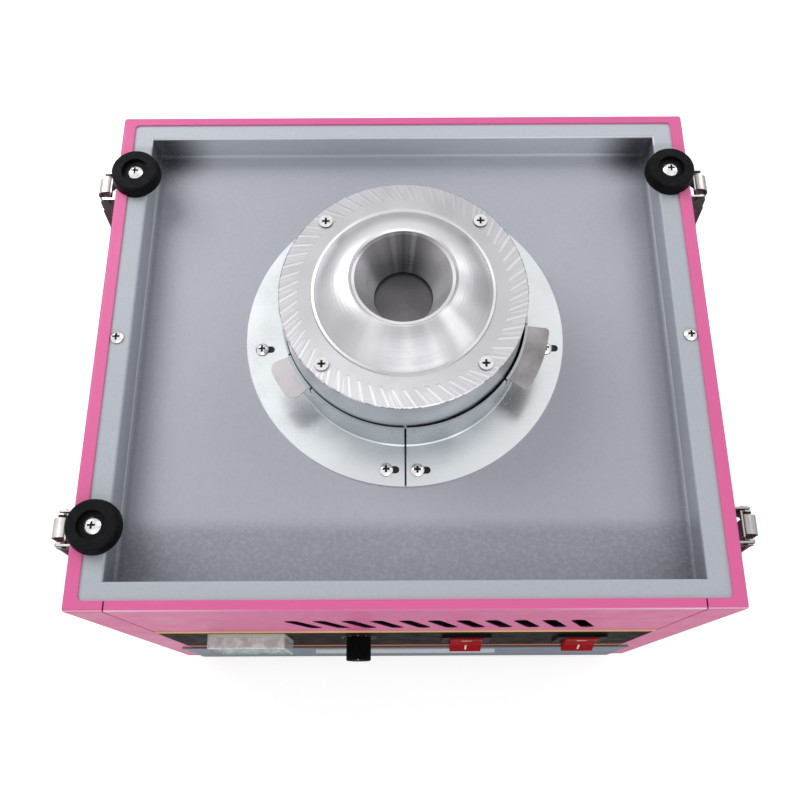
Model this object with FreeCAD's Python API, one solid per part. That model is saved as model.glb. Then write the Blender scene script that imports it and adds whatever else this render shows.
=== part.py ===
"""Countertop candy floss machine, built as an assembly of separate pieces.

Everything is in millimetres. +Z is up, +X is to the right of someone who faces
the front, and the front looks towards -Y. Shapes are drawn about the middle of
the cabinet with z = 0 on the table, and save() shifts them in Y so that the
middle of the whole machine lies over the origin. Heights named "below the top"
are measured down from the flat top of the cabinet.
"""
import FreeCAD, Part
import math
import os

V = FreeCAD.Vector

# ---- driving dimensions -------------------------------------------------
CABINET_W = 385.0        # across the side sheets
CABINET_D = 335.0        # from the front face to the rear face
CABINET_H = 304.0        # bottom edge to the flat top
FOOT_LIFT = 12.0         # daylight under the cabinet
SHEET = 1.2              # cabinet and tray sheet
CORNER_R = 2.0           # outside bend of the cabinet sheet
RETURN_W = 23.0          # side sheet wrapped onto the front face
PANEL_GAP = 1.0          # seam round the front panel

MARGIN_SIDE = 8.4        # cabinet flange seen beside the tray
MARGIN_END = 6.2         # cabinet flange seen before and behind the tray
RIM_SIDE = 12.7          # tray rim seen beside the well
RIM_END = 10.8           # tray rim seen before and behind the well
TRAY_DEPTH = 20.0
WALL_BEND = 2.4          # inside bend between the walls and the floor of the tray
RIM_BEND = 1.3           # bend between the rim and the walls

AXIS_Y = 11.0            # spinner axis, behind the middle of the cabinet
HEAD_R = 73.5
HEAD_RISE = 41.0         # ring of the head above the cabinet top
SKIRT_H = 35.0
DOME_RISE = 17.0         # lip of the sugar opening above the ring
OPENING_R = 30.0
WELL_R = 17.7            # foot of the sugar funnel
WELL_DEPTH = 27.0
SPINDLE_R = 5.0

COLLAR_R = HEAD_R + 2.5  # outside of the collar wall
COLLAR_RISE = 10.0       # top of the collar above the cabinet top
FLANGE_R = COLLAR_R + 26.5
COLLAR_SCREW_R = COLLAR_R + 16.0
TRAY_HOLE_R = HEAD_R - 11.5
COLLAR_SEAM = 1.2
COLLAR_SHIFT = (0.7, 0.5)  # collar set off the spinner axis by the play of its slots
EAR_OUT = 13.5           # reach of the bent ears

BUMPER_X = CABINET_W / 2 - 13.8
BUMPER_Y = CABINET_D / 2 - 47.8
BUMPER_R = 16.2
BUMPER_TOP_R = 15.0
BUMPER_H = 7.5
BUMPER_RECESS = 2.5

BAND_TOP = 105.0         # control band, below the top
DRAWER_LINE = 222.0      # top edge of the drawer front, below the top
CONTROL_Z = 145.0        # middle of the switches and the knob, below the top
KNOB_OUT = 16.5
INLET_OUT = 2.5
DRAWER_TRAVEL = 200.0

LATCH_Y = CABINET_D / 2 - 49.5

FIT = 0.05               # radial clearance of a running or push fit
SLIDE = 0.4              # side clearance of flat sliding pieces

# ---- derived places -----------------------------------------------------
HALF_W = CABINET_W / 2
HALF_D = CABINET_D / 2
BASE = FOOT_LIFT
TOP = BASE + CABINET_H
FRONT = -HALF_D
RETURN_X = HALF_W - RETURN_W
RIM_Z = TOP - SHEET
FLOOR_Z = RIM_Z - TRAY_DEPTH
WELL_X = HALF_W - MARGIN_SIDE - RIM_SIDE
WELL_Y = HALF_D - MARGIN_END - RIM_END
HEAD_Z = TOP + HEAD_RISE
LIP_Z = HEAD_Z + DOME_RISE
SKIRT_Z = HEAD_Z - SKIRT_H
PLATE_Z = FLOOR_Z - SHEET - 30.0
Y_SHIFT = (KNOB_OUT - INLET_OUT) / 2
SCREW_HEAD_R = 4.2
SCREW_R = 2.0


# ---- small helpers ------------------------------------------------------
def box(x0, x1, y0, y1, z0, z1):
    return Part.makeBox(x1 - x0, y1 - y0, z1 - z0, V(x0, y0, z0))


def cyl(radius, z0, z1, x=0.0, y=0.0):
    return Part.makeCylinder(radius, z1 - z0, V(x, y, z0))


def cyl_x(radius, x0, x1, y, z):
    return Part.makeCylinder(radius, x1 - x0, V(x0, y, z), V(1, 0, 0))


def cyl_y(radius, y0, y1, x, z):
    return Part.makeCylinder(radius, y1 - y0, V(x, y0, z), V(0, 1, 0))


def ring(outer, inner, z0, z1, x=0.0, y=0.0):
    return cyl(outer, z0, z1, x, y).cut(cyl(inner, z0 - 1, z1 + 1, x, y))


def fuse(first, *rest):
    return first.multiFuse(list(rest)).removeSplitter() if rest else first


def cut(shape, *tools):
    return shape.cut(Part.makeCompound(list(tools)))


def prism(points, direction):
    """Extrude a closed outline of points along a direction."""
    face = Part.Face(Part.makePolygon([V(*p) for p in points + points[:1]]))
    return face.extrude(V(*direction))


def turned(points, y=AXIS_Y):
    """Turn an outline of (radius, z) points about the vertical spinner axis."""
    face = Part.Face(Part.makePolygon([V(r, 0, z) for r, z in points + points[:1]]))
    solid = face.revolve(V(0, 0, 0), V(0, 0, 1), 360)
    solid.translate(V(0, y, 0))
    return solid


def rounded_box(x0, x1, y0, y1, z0, z1, radius):
    """A box whose four upright edges are rounded."""
    solid = box(x0, x1, y0, y1, z0, z1)
    upright = [e for e in solid.Edges if abs(e.tangentAt(e.FirstParameter).z) > 0.9]
    return solid.makeFillet(radius, upright)


def plate_on_front(x, z, width, height, out0, out1, radius):
    """A plate parallel to the front face, with rounded corners."""
    solid = box(x - width / 2, x + width / 2, FRONT - out1, FRONT - out0,
                z - height / 2, z + height / 2)
    deep = [e for e in solid.Edges if abs(e.tangentAt(e.FirstParameter).y) > 0.9]
    return solid.makeFillet(radius, deep)


def around_axis(radius, azimuth):
    """The point at a radius and azimuth in degrees about the spinner axis."""
    a = math.radians(azimuth)
    return radius * math.cos(a), AXIS_Y + radius * math.sin(a)


def mirrored(shape):
    return shape.mirror(V(0, 0, 0), V(1, 0, 0))


def moved(shape, x=0.0, y=0.0, z=0.0):
    copy = shape.copy()
    copy.translate(V(x, y, z))
    return copy


def cross_recess(x, y, z, size=4.6, depth=1.6):
    arm = size / 3.4
    return fuse(box(x - size / 2, x + size / 2, y - arm / 2, y + arm / 2, z - depth, z + 1),
                box(x - arm / 2, x + arm / 2, y - size / 2, y + size / 2, z - depth, z + 1))


def pan_screw(x, y, seat, length, head_r=SCREW_HEAD_R, rise=2.6, shank=SCREW_R):
    """A cross-head pan screw, driven down, with its head on z = seat."""
    dome_r = head_r * 1.35
    dome = Part.makeSphere(dome_r, V(x, y, seat + rise - dome_r))
    head = cyl(head_r, seat, seat + rise + 1, x, y).common(dome)
    return cut(fuse(head, cyl(shank, seat - length, seat + 0.5, x, y)),
               cross_recess(x, y, seat + rise))


def save(name, *solids):
    shape = solids[0] if len(solids) == 1 else Part.makeCompound(list(solids))
    shape = shape.copy()
    shape.translate(V(0, Y_SHIFT, 0))
    shape.exportStep("parts/" + name + ".step")


# ---- cabinet ------------------------------------------------------------
RAIL_W = 18.0
RAIL_Y = HALF_D - 17.5
LATCH_RIVET_Z = TOP - 40.0
LATCH_RIVET_Y = 7.0
INLET_X, INLET_Z = HALF_W - 72.5, BASE + 48.0
FOOT_X, FOOT_Y, FOOT_R = HALF_W - 30.5, HALF_D - 29.5, 13.0
BOTTOM_LIP = 14.0
REAR_VENT_DROP = 205.0
LATCH_PLACES = [(side, end * LATCH_Y) for side in (1, -1) for end in (1, -1)]
BUMPER_PLACES = [(sx * BUMPER_X, sy * BUMPER_Y) for sx, sy in ((-1, 1), (1, 1), (-1, -1))]
TRAY_SCREW_X = HALF_W - MARGIN_SIDE - SCREW_HEAD_R - 0.3


def rim_screw_places():
    return BUMPER_PLACES + [(side * TRAY_SCREW_X, 1.0) for side in (-1, 1)]


def cabinet_shell():
    """The closed sheet box that the wrap is cut from."""
    def sheet_box(inset, radius):
        solid = box(-HALF_W + inset, HALF_W - inset, -HALF_D + inset, HALF_D - inset,
                    BASE + inset, TOP - inset)
        low = BASE + inset + 0.01
        edges = [e for e in solid.Edges if max(v.Z for v in e.Vertexes) > low]
        return solid.makeFillet(radius, edges)
    return sheet_box(0, CORNER_R).cut(sheet_box(SHEET, CORNER_R - SHEET))


def cabinet_wrap():
    """Side and rear sheets in one piece, with returns onto the front and the top."""
    opening_x, opening_y = HALF_W - MARGIN_SIDE, HALF_D - MARGIN_END
    top_opening = rounded_box(-opening_x, opening_x, -opening_y, opening_y, RIM_Z - 1, TOP + 1, 3)
    front_opening = box(-RETURN_X, RETURN_X, FRONT - 1, -opening_y, BASE - 1, TOP + 1)
    bottom_opening = box(-HALF_W + BOTTOM_LIP, HALF_W - BOTTOM_LIP,
                         FRONT + BOTTOM_LIP, HALF_D - BOTTOM_LIP, BASE - 1, BASE + SHEET + 1)
    inlet_hole = box(INLET_X - 14, INLET_X + 14, HALF_D - 3, HALF_D + 1, INLET_Z - 10.5, INLET_Z + 10.5)
    rear_vents = [vent_slot(-100 + 22 * i, HALF_D, TOP - REAR_VENT_DROP, 6.0, 70.0, 0.0) for i in range(8)]
    rivets = [cyl_x(1.55, min(side * (HALF_W - 3), side * (HALF_W + 1)),
                    max(side * (HALF_W - 3), side * (HALF_W + 1)), y + dy, LATCH_RIVET_Z)
              for side, y in LATCH_PLACES for dy in (-LATCH_RIVET_Y, LATCH_RIVET_Y)]
    return cut(cabinet_shell(), top_opening, front_opening, bottom_opening, inlet_hole,
               *(rear_vents + rivets))


def vent_slot(x, y, z, width, length, lean):
    """A round-ended slot through a face across Y, leaning in degrees from upright."""
    straight = length - width
    slot = fuse(box(-width / 2, width / 2, -4, 4, -straight / 2, straight / 2),
                cyl_y(width / 2, -4, 4, 0, straight / 2), cyl_y(width / 2, -4, 4, 0, -straight / 2))
    slot.rotate(V(0, 0, 0), V(0, 1, 0), -lean)
    slot.translate(V(x, y, z))
    return slot


METER_X, METER_W, METER_H, METER_TOP = 60.9 - RETURN_X, 53.0, 51.0, 117.0
METER_Z = TOP - METER_TOP - METER_H / 2
METER_BARREL_R = 20.0
METER_OUT = 10.5
KNOB_X, KNOB_R = -33.0, 8.7
SWITCH_X = {"power": RETURN_X - 126.5, "heat": RETURN_X - 46.0}
SWITCH_Z = TOP - CONTROL_Z
SWITCH_BODY_W, SWITCH_BODY_H = 27.0, 35.0
BEZEL_W, BEZEL_H, BEZEL_OUT = 34.0, 38.0, 3.0
BUSH_R = 4.8
OVERLAY = 0.5
PANEL_LOW = TOP - DRAWER_LINE + 0.8
VENT_X, VENT_STEP, VENT_DROP = -64.0, 17.6, 68.5
VENT_W, VENT_H, VENT_LEAN = 8.8, 43.5, 20.0


def control_cutouts(grow):
    """Holes for the meter, the regulator and the switches, through panel and overlay."""
    holes = [cyl_y(METER_BARREL_R + grow, FRONT - 2, FRONT + 3, METER_X, METER_Z),
             cyl_y(BUSH_R + grow, FRONT - 2, FRONT + 3, KNOB_X, SWITCH_Z)]
    for x in SWITCH_X.values():
        holes.append(box(x - SWITCH_BODY_W / 2 - grow, x + SWITCH_BODY_W / 2 + grow, FRONT - 2, FRONT + 3,
                         SWITCH_Z - SWITCH_BODY_H / 2 - grow, SWITCH_Z + SWITCH_BODY_H / 2 + grow))
    return holes


def front_panel():
    """Upper front sheet with a top flange, a bottom return and joggled side tabs."""
    half = RETURN_X - PANEL_GAP
    face = box(-half, half, FRONT, FRONT + SHEET, PANEL_LOW, TOP)
    top_flange = box(-half, half, FRONT, -HALF_D + MARGIN_END, TOP - SHEET, TOP)
    low_flange = box(-half + 5, half - 5, FRONT, FRONT + 12, PANEL_LOW, PANEL_LOW + SHEET)
    tabs = []
    for side in (-1, 1):
        x0, x1 = sorted((side * (half - 10), side * (HALF_W - SHEET - 5)))
        tabs.append(box(x0, x1, FRONT + SHEET, FRONT + 2 * SHEET, PANEL_LOW + 4, TOP - 20))
    vents = [vent_slot(VENT_X + VENT_STEP * i, FRONT, TOP - VENT_DROP, VENT_W, VENT_H, VENT_LEAN)
             for i in range(11)]
    body = fuse(face, top_flange, low_flange, *tabs)
    front_top = [e for e in body.Edges
                 if all(abs(v.Y - FRONT) < 0.01 and abs(v.Z - TOP) < 0.01 for v in e.Vertexes)]
    return cut(body.makeFillet(1.1, front_top), *(vents + control_cutouts(0.3)))


def control_overlay():
    """Printed band over the middle of the front panel."""
    half = RETURN_X - PANEL_GAP - 0.4
    sheet = box(-half, half, FRONT - OVERLAY, FRONT, PANEL_LOW + 0.4, TOP - BAND_TOP)
    return cut(sheet, *control_cutouts(0.3))


def trough(half, length, z0, z1, bend, flare):
    """A block along Y with bent bottom edges that flares out at z = RIM_Z."""
    solid = box(-half, half, -length, length, z0, z1)
    low = [e for e in solid.Edges if abs(e.tangentAt(e.FirstParameter).y) > 0.9
           and all(abs(v.Z - z0) < 0.01 for v in e.Vertexes)]
    solid = solid.makeFillet(bend, low)
    if not flare:
        return solid
    sides = []
    for side in (-1, 1):
        x0, x1 = sorted((side * (half - 1), side * (half + flare)))
        corner = box(x0, x1, -length, length, RIM_Z - flare, z1)
        sides.append(corner.cut(cyl_y(flare, -length - 1, length + 1, side * (half + flare), RIM_Z - flare)))
    return fuse(solid, *sides)


def mitred_well(grow, z0, z1, bend, flare):
    """The hollow of the tray: two troughs that cross, so the bends meet in mitres."""
    across = trough(WELL_Y + grow, WELL_X + 20, z0, z1, bend, flare)
    across.rotate(V(0, 0, 0), V(0, 0, 1), 90)
    return trough(WELL_X + grow, WELL_Y + 20, z0, z1, bend, flare).common(across)


def top_tray():
    """Bent tray: rim under the cabinet flange, upright walls and a holed floor."""
    out_x, out_y = HALF_W - SHEET - 1.5, HALF_D - SHEET - 1.5
    rim = rounded_box(-out_x, out_x, -out_y, out_y, RIM_Z - SHEET, RIM_Z, 4)
    pan = mitred_well(SHEET, FLOOR_Z - SHEET, RIM_Z - SHEET / 2, WALL_BEND + SHEET, 0)
    tray = fuse(rim, pan).cut(mitred_well(0, FLOOR_Z, RIM_Z + 1, WALL_BEND, RIM_BEND))
    holes = [cyl(SCREW_R + 0.1, RIM_Z - 5, RIM_Z + 1, x, y) for x, y in rim_screw_places()]
    holes += [cyl(SCREW_R + 0.1, FLOOR_Z - 5, FLOOR_Z + 1, x, y) for x, y, _ in collar_screw_places()]
    return cut(tray, cyl(TRAY_HOLE_R, FLOOR_Z - 5, FLOOR_Z + 5, 0, AXIS_Y), *holes)


def tray_rails():
    """Angle rails on the side sheets that carry the tray rim and take its screws."""
    inner = HALF_W - SHEET
    z1 = RIM_Z - SHEET
    rails = []
    for side in (-1, 1):
        x0, x1 = sorted((side * (inner - RAIL_W), side * inner))
        w0, w1 = sorted((side * (inner - 1.5), side * inner))
        rail = fuse(box(x0, x1, -RAIL_Y, RAIL_Y, z1 - 2, z1), box(w0, w1, -RAIL_Y, RAIL_Y, z1 - 18, z1))
        holes = [cyl(SCREW_R + 0.1, z1 - 4, z1 + 1, x, y) for x, y in rim_screw_places() if x * side > 0]
        rails.append(cut(rail, *holes))
    return rails


def foot_places():
    return [(sx * FOOT_X, sy * FOOT_Y) for sx in (-1, 1) for sy in (-1, 1)]


def bottom_plate():
    z0 = BASE + SHEET
    plate = box(-HALF_W + SHEET + 1, HALF_W - SHEET - 1, FRONT + 8, HALF_D - SHEET - 1, z0, z0 + SHEET)
    slots = [floor_slot(-60 + 20 * i, 110, z0) for i in range(4)]
    screws = [cyl(SCREW_R + 0.1, z0 - 1, z0 + 3, x, y) for x, y in foot_places()]
    return cut(plate, *(slots + screws))


def floor_slot(x, y, z):
    return fuse(box(x - 3, x + 3, y - 20, y + 20, z - 2, z + 4),
                cyl(3, z - 2, z + 4, x, y - 20), cyl(3, z - 2, z + 4, x, y + 20))


def feet():
    """Tapered rubber feet, each held by a screw set up inside its foot."""
    shapes = []
    for x, y in foot_places():
        body = Part.makeCone(FOOT_R - 2, FOOT_R, BASE + SHEET, V(x, y, 0))
        shapes.append(cut(body, cyl(5.5, -1, 7, x, y), cyl(SCREW_R + FIT, 6, BASE + 3, x, y)))
    return shapes


def foot_screw(x, y):
    """A pan screw driven up through the foot into the bottom plate."""
    screw = pan_screw(x, y, 0, 11)
    screw.rotate(V(x, y, 0), V(1, 0, 0), 180)
    return moved(screw, z=7)


# ---- collar, bumpers and their screws -----------------------------------
SLOT_SHIFT = 5.8         # every collar slot runs this far to the right of its screw


def collar_screw_places():
    """Screws of the collar: x, y and the half they hold."""
    front = (-97.0, -85.0)
    rear = (97.0, 85.0)
    places = [(186.5, "left"), (-6.5, "right"), (front[0], "left"), (front[1], "right"),
              (rear[0], "left"), (rear[1], "right")]
    return [around_axis(COLLAR_SCREW_R, azimuth) + (half,) for azimuth, half in places]


def ear(azimuth_0, azimuth_1, corner):
    """A tab bent out flat from the top of the collar wall."""
    z1 = TOP + COLLAR_RISE
    middle, half = (azimuth_0 + azimuth_1) / 2, abs(azimuth_1 - azimuth_0) / 2
    reach = COLLAR_R + EAR_OUT
    blank = ring(reach, COLLAR_R - SHEET, z1 - SHEET, z1)
    edge = math.radians(half)
    wedge = prism([(0, 0, z1 - 3), (2 * reach * math.cos(edge), -2 * reach * math.sin(edge), z1 - 3),
                   (2 * reach * math.cos(edge), 2 * reach * math.sin(edge), z1 - 3)], (0, 0, 6))
    tab = blank.common(wedge)
    far = [e for e in tab.Edges if abs(e.tangentAt(e.FirstParameter).z) > 0.9
           and all(math.hypot(v.X, v.Y) > reach - 0.01 for v in e.Vertexes)]
    tab = tab.makeFillet(corner, far)
    tab.rotate(V(0, 0, 0), V(0, 0, 1), middle)
    return moved(tab, COLLAR_SHIFT[0], AXIS_Y + COLLAR_SHIFT[1])


def relief(azimuth):
    """Cut beside an ear that lets the sheet bend."""
    x, y = around_axis(COLLAR_R, azimuth)
    slit = box(-3, 3, -0.6, 0.6, TOP + COLLAR_RISE - 7, TOP + COLLAR_RISE + 1)
    slit.rotate(V(0, 0, 0), V(0, 0, 1), azimuth)
    return moved(slit, x + COLLAR_SHIFT[0], y + COLLAR_SHIFT[1])


def collar_half(name):
    """Half of the guard collar: slotted flange, upright wall and one ear."""
    side = -1 if name == "left" else 1
    z_top = TOP + COLLAR_RISE
    shell = turned([(COLLAR_R - SHEET, FLOOR_Z), (FLANGE_R, FLOOR_Z), (FLANGE_R, FLOOR_Z + SHEET),
                    (COLLAR_R + 0.8, FLOOR_Z + SHEET), (COLLAR_R, FLOOR_Z + SHEET + 0.8),
                    (COLLAR_R, z_top), (COLLAR_R - SHEET, z_top)])
    shell = moved(shell, *COLLAR_SHIFT)
    x0, x1 = sorted((COLLAR_SHIFT[0] + side * COLLAR_SEAM / 2, side * (FLANGE_R + 5)))
    half = shell.common(box(x0, x1, AXIS_Y - 120, AXIS_Y + 120, FLOOR_Z - 1, z_top + 1))
    ear_ends = (-157.7, -139.5) if name == "left" else (-35.5, -7.0)
    slots = []
    for x, y, owner in collar_screw_places():
        if owner == name:
            slots.append(fuse(cyl(2.3, FLOOR_Z - 1, FLOOR_Z + 3, x, y),
                              cyl(2.3, FLOOR_Z - 1, FLOOR_Z + 3, x + SLOT_SHIFT, y),
                              box(x, x + SLOT_SHIFT, y - 2.3, y + 2.3, FLOOR_Z - 1, FLOOR_Z + 3)))
    corner = 6.0 if name == "left" else 2.5
    inner = [relief(ear_ends[0] - 0.9), relief(ear_ends[1] + 0.9)]
    return cut(fuse(half, ear(*ear_ends, corner)), *(slots + inner))


def bumper(x, y):
    """Tapered rubber stop on the tray rim, notched over the cabinet flange."""
    side = math.copysign(1, x)
    crown = TOP + BUMPER_H
    body = fuse(cyl(BUMPER_R, RIM_Z, TOP + 2, x, y),
                Part.makeCone(BUMPER_R, BUMPER_TOP_R, crown - TOP - 2, V(x, y, TOP + 2)))
    rim = [e for e in body.Edges if all(abs(v.Z - crown) < 0.01 for v in e.Vertexes) and e.Length > 20]
    body = body.makeFillet(1.2, rim)
    flange_edge = HALF_W - MARGIN_SIDE
    x0, x1 = sorted((side * flange_edge, side * (HALF_W + 5)))
    wx0, wx1 = sorted((side * (WELL_X - 30), side * WELL_X))
    over_flange = box(x0, x1, y - 30, y + 30, RIM_Z - 1, TOP)
    over_well = box(wx0, wx1, y - 30, y + 30, RIM_Z - 1, RIM_Z + 0.6)
    return cut(body, over_flange, over_well, cyl(8.6, crown - BUMPER_RECESS, crown + 1, x, y),
               cyl(SCREW_R + FIT, RIM_Z - 1, crown, x, y))


def pan_screws():
    """Every cross-head pan screw of the fixed frame: rim, bumpers, collar and feet."""
    crown = TOP + BUMPER_H
    screws = [pan_screw(x, y, crown - BUMPER_RECESS, 14, 5.8, 2.0) for x, y in BUMPER_PLACES]
    screws += [pan_screw(side * TRAY_SCREW_X, 1.0, RIM_Z, 8) for side in (-1, 1)]
    screws += [pan_screw(x, y, FLOOR_Z + SHEET, 6) for x, y, _ in collar_screw_places()]
    screws += [foot_screw(x, y) for x, y in foot_places()]
    return screws


# ---- spinner head -------------------------------------------------------
COVER = 3.0
BASE_FLOOR_Z = HEAD_Z - 29.0
BASE_FLOOR = 4.0
HUB_R = 12.0
HEAD_SCREW_R = HEAD_R - 7.5
HEATER_R = HEAD_R - 13.5
GROOVE_IN = HEAD_R - 11.5
DOME_R = HEAD_R - 21.0   # foot of the dome
CAP_Z = LIP_Z - WELL_DEPTH - 6.0
LEDGE_Z = LIP_Z - 1.6    # seat of the funnel inside the lip


def head_screw_places():
    return [around_axis(HEAD_SCREW_R, 45 + 90 * i) for i in range(4)]


def head_base():
    """Cast pan of the spinner: skirt, floor, hub and four screw bosses."""
    under_cover = HEAD_Z - COVER
    pan = turned([(SPINDLE_R + FIT, BASE_FLOOR_Z - 8), (HUB_R, BASE_FLOOR_Z - 8), (HUB_R, BASE_FLOOR_Z),
                  (HEAD_R - 3, BASE_FLOOR_Z), (HEAD_R - 3, SKIRT_Z), (HEAD_R, SKIRT_Z),
                  (HEAD_R, under_cover), (HEAD_R - 3, under_cover),
                  (HEAD_R - 3, BASE_FLOOR_Z + BASE_FLOOR), (HUB_R, BASE_FLOOR_Z + BASE_FLOOR),
                  (HUB_R, CAP_Z), (SPINDLE_R + FIT, CAP_Z)])
    bosses = [cyl(5, BASE_FLOOR_Z, under_cover, x, y) for x, y in head_screw_places()]
    holes = [cyl(SCREW_R + FIT, BASE_FLOOR_Z + 6, under_cover + 1, x, y) for x, y in head_screw_places()]
    skirt_limit = ring(HEAD_R + 20, HEAD_R, SKIRT_Z - 5, HEAD_Z, 0, AXIS_Y)
    return cut(fuse(pan, *bosses), skirt_limit, *holes)


def dome_point(t, offset=0.0):
    """A point (radius, z) along the convex flank of the dome, t from foot to lip."""
    foot_z = HEAD_Z + 1.4
    radius = DOME_R + (OPENING_R + 1.6 - DOME_R) * t
    height = foot_z + (LIP_Z - foot_z) * (t + 0.55 * t * (1 - t))
    return radius - 0.4 * offset, height - 0.9 * offset


def head_cover():
    """Turned cover: grooved outer ring, a step and a convex dome with a ledge for the funnel."""
    steps = [i / 10 for i in range(11)]
    outside = [(HEAD_R, HEAD_Z - COVER), (HEAD_R, HEAD_Z - 0.7), (HEAD_R - 0.7, HEAD_Z),
               (DOME_R + 2.1, HEAD_Z), (DOME_R + 1.5, HEAD_Z + 1.0)]
    outside += [dome_point(t) for t in steps]
    outside += [(OPENING_R + 0.6, LIP_Z), (OPENING_R, LIP_Z - 0.6), (OPENING_R, LEDGE_Z)]
    inside = [(OPENING_R - 0.9, LEDGE_Z), (OPENING_R - 0.9, LIP_Z - 3.5)]
    inside += [dome_point(t, 2.6) for t in reversed(steps)] + [(DOME_R - 2.0, HEAD_Z - COVER)]
    cover = turned(outside + inside)
    grooves = []
    for i in range(60):
        x, y = around_axis(HEAD_R + 1, 6 * i)
        blade = box(-16, 3, -0.8, 0.8, HEAD_Z - 0.25, HEAD_Z + 1)
        blade.rotate(V(0, 0, 0), V(0, 0, 1), 6 * i + 28)
        grooves.append(moved(blade, x, y))
    zone = ring(HEAD_R + 5, GROOVE_IN, HEAD_Z - 1, HEAD_Z + 2, 0, AXIS_Y)
    pads = Part.makeCompound([cyl(5.2, HEAD_Z - 2, HEAD_Z + 3, x, y) for x, y in head_screw_places()])
    grooves = Part.makeCompound(grooves).common(zone).cut(pads)
    holes = [cyl(SCREW_R + FIT, HEAD_Z - 5, HEAD_Z + 2, x, y) for x, y in head_screw_places()]
    return cut(cover, grooves, *holes)


def head_screws():
    """Flat-topped screws that hold the cover to the base, slightly proud of the ring."""
    screws = []
    for x, y in head_screw_places():
        head = fuse(cyl(SCREW_HEAD_R, HEAD_Z, HEAD_Z + 0.9, x, y),
                    cyl(SCREW_R, HEAD_Z - 12, HEAD_Z + 0.5, x, y))
        screws.append(cut(head, cross_recess(x, y, HEAD_Z + 0.9, depth=1.4)))
    return screws


def sugar_funnel():
    """Thin funnel from the ledge inside the lip down to the sugar outlet."""
    foot, rim_r = LIP_Z - WELL_DEPTH, OPENING_R - FIT
    return turned([(OPENING_R - 1.2, LEDGE_Z), (rim_r, LEDGE_Z), (rim_r, LEDGE_Z + 0.7),
                   (OPENING_R - 1.9, LEDGE_Z + 0.7), (WELL_R, foot), (WELL_R + 1.2, foot)])


def heating_ring():
    """Meander ribbon that melts the sugar, standing on the floor of the base."""
    z0, z1 = BASE_FLOOR_Z + BASE_FLOOR, HEAD_Z - COVER - 3
    band = ring(HEATER_R, HEATER_R - 1.2, z0, z1, 0, AXIS_Y)
    slots = []
    for i in range(60):
        low, high = (z0 + 3, z1 + 1) if i % 2 else (z0 - 1, z1 - 3)
        slot = box(HEATER_R - 4, HEATER_R + 3, -1.0, 1.0, low, high)
        slot.rotate(V(0, 0, 0), V(0, 0, 1), 6 * i)
        slots.append(moved(slot, y=AXIS_Y))
    return cut(band, *slots)


def hub_cap():
    """Round distributor plate over the hub, wider than the foot of the funnel above it."""
    edge = WELL_R + 4.3
    return turned([(0, CAP_Z), (edge, CAP_Z), (edge, CAP_Z + 2.2), (edge - 1, CAP_Z + 3.0),
                   (0, CAP_Z + 3.0)])


# ---- drive under the tray -----------------------------------------------
MOTOR_R = 45.0
MOTOR_H = 108.0
MOTOR_TOP = PLATE_Z
MOTOR_LOW = MOTOR_TOP - MOTOR_H
MOTOR_PLATE = 2.0
BEARING_R, BEARING_H = 11.0, 7.0
ISOLATOR_XY = 60.0
FAN_Z = MOTOR_LOW - 18.0
SLIP_LOW_Z = PLATE_Z + 14.0
SLIP_HIGH_Z = PLATE_Z + 28.0


def isolator_places():
    return [(sx * ISOLATOR_XY, AXIS_Y + sy * ISOLATOR_XY) for sx in (-1, 1) for sy in (-1, 1)]


def motor_plate():
    half = ISOLATOR_XY + 15
    plate = rounded_box(-half, half, AXIS_Y - half, AXIS_Y + half, PLATE_Z, PLATE_Z + MOTOR_PLATE, 10)
    return cut(plate, cyl(17, PLATE_Z - 1, PLATE_Z + 4, 0, AXIS_Y))


def motor_isolators():
    """Rubber mounts that let the motor settle as the head spins up."""
    z0, z1 = PLATE_Z + MOTOR_PLATE, FLOOR_Z - SHEET
    return [fuse(cyl(9, z0, z0 + 9, x, y), cyl(7, z0 + 8, z1 - 8, x, y), cyl(9, z1 - 9, z1, x, y))
            for x, y in isolator_places()]


def motor_vents(z0, z1):
    slots = []
    for i in range(10):
        slot = box(MOTOR_R - 8, MOTOR_R + 2, -4, 4, z0, z1)
        slot.rotate(V(0, 0, 0), V(0, 0, 1), 36 * i)
        slots.append(moved(slot, y=AXIS_Y))
    return slots


def motor_housing():
    """Motor can hung under the plate, open below, with the upper bearing seat."""
    wall = 2.0
    can = turned([(SPINDLE_R + 2, MOTOR_TOP), (SPINDLE_R + 2, MOTOR_TOP - 1.5),
                  (BEARING_R, MOTOR_TOP - 1.5), (BEARING_R, MOTOR_TOP - 1.5 - BEARING_H),
                  (BEARING_R + 4, MOTOR_TOP - 1.5 - BEARING_H), (BEARING_R + 4, MOTOR_TOP - 3),
                  (MOTOR_R - wall, MOTOR_TOP - 3), (MOTOR_R - wall, MOTOR_LOW + 8),
                  (MOTOR_R, MOTOR_LOW + 8), (MOTOR_R, MOTOR_TOP)])
    return cut(can, *motor_vents(MOTOR_TOP - 20, MOTOR_TOP - 10))


def motor_end_cap():
    """Lower end of the motor with the second bearing seat."""
    z0, z1 = MOTOR_LOW, MOTOR_LOW + 8
    cap = turned([(SPINDLE_R + 2, z0), (MOTOR_R, z0), (MOTOR_R, z1), (MOTOR_R - 2 - FIT, z1),
                  (MOTOR_R - 2 - FIT, z1 + 3), (MOTOR_R - 4, z1 + 3), (MOTOR_R - 4, z0 + 3),
                  (BEARING_R + 4, z0 + 3), (BEARING_R + 4, z0 + 1 + BEARING_H),
                  (BEARING_R, z0 + 1 + BEARING_H), (BEARING_R, z0 + 1), (SPINDLE_R + 2, z0 + 1)])
    holes = []
    for i in range(6):
        x, y = around_axis(28, 60 * i)
        holes.append(cyl(6, z0 - 1, z0 + 4, x, y))
    return cut(cap, *holes)


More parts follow.
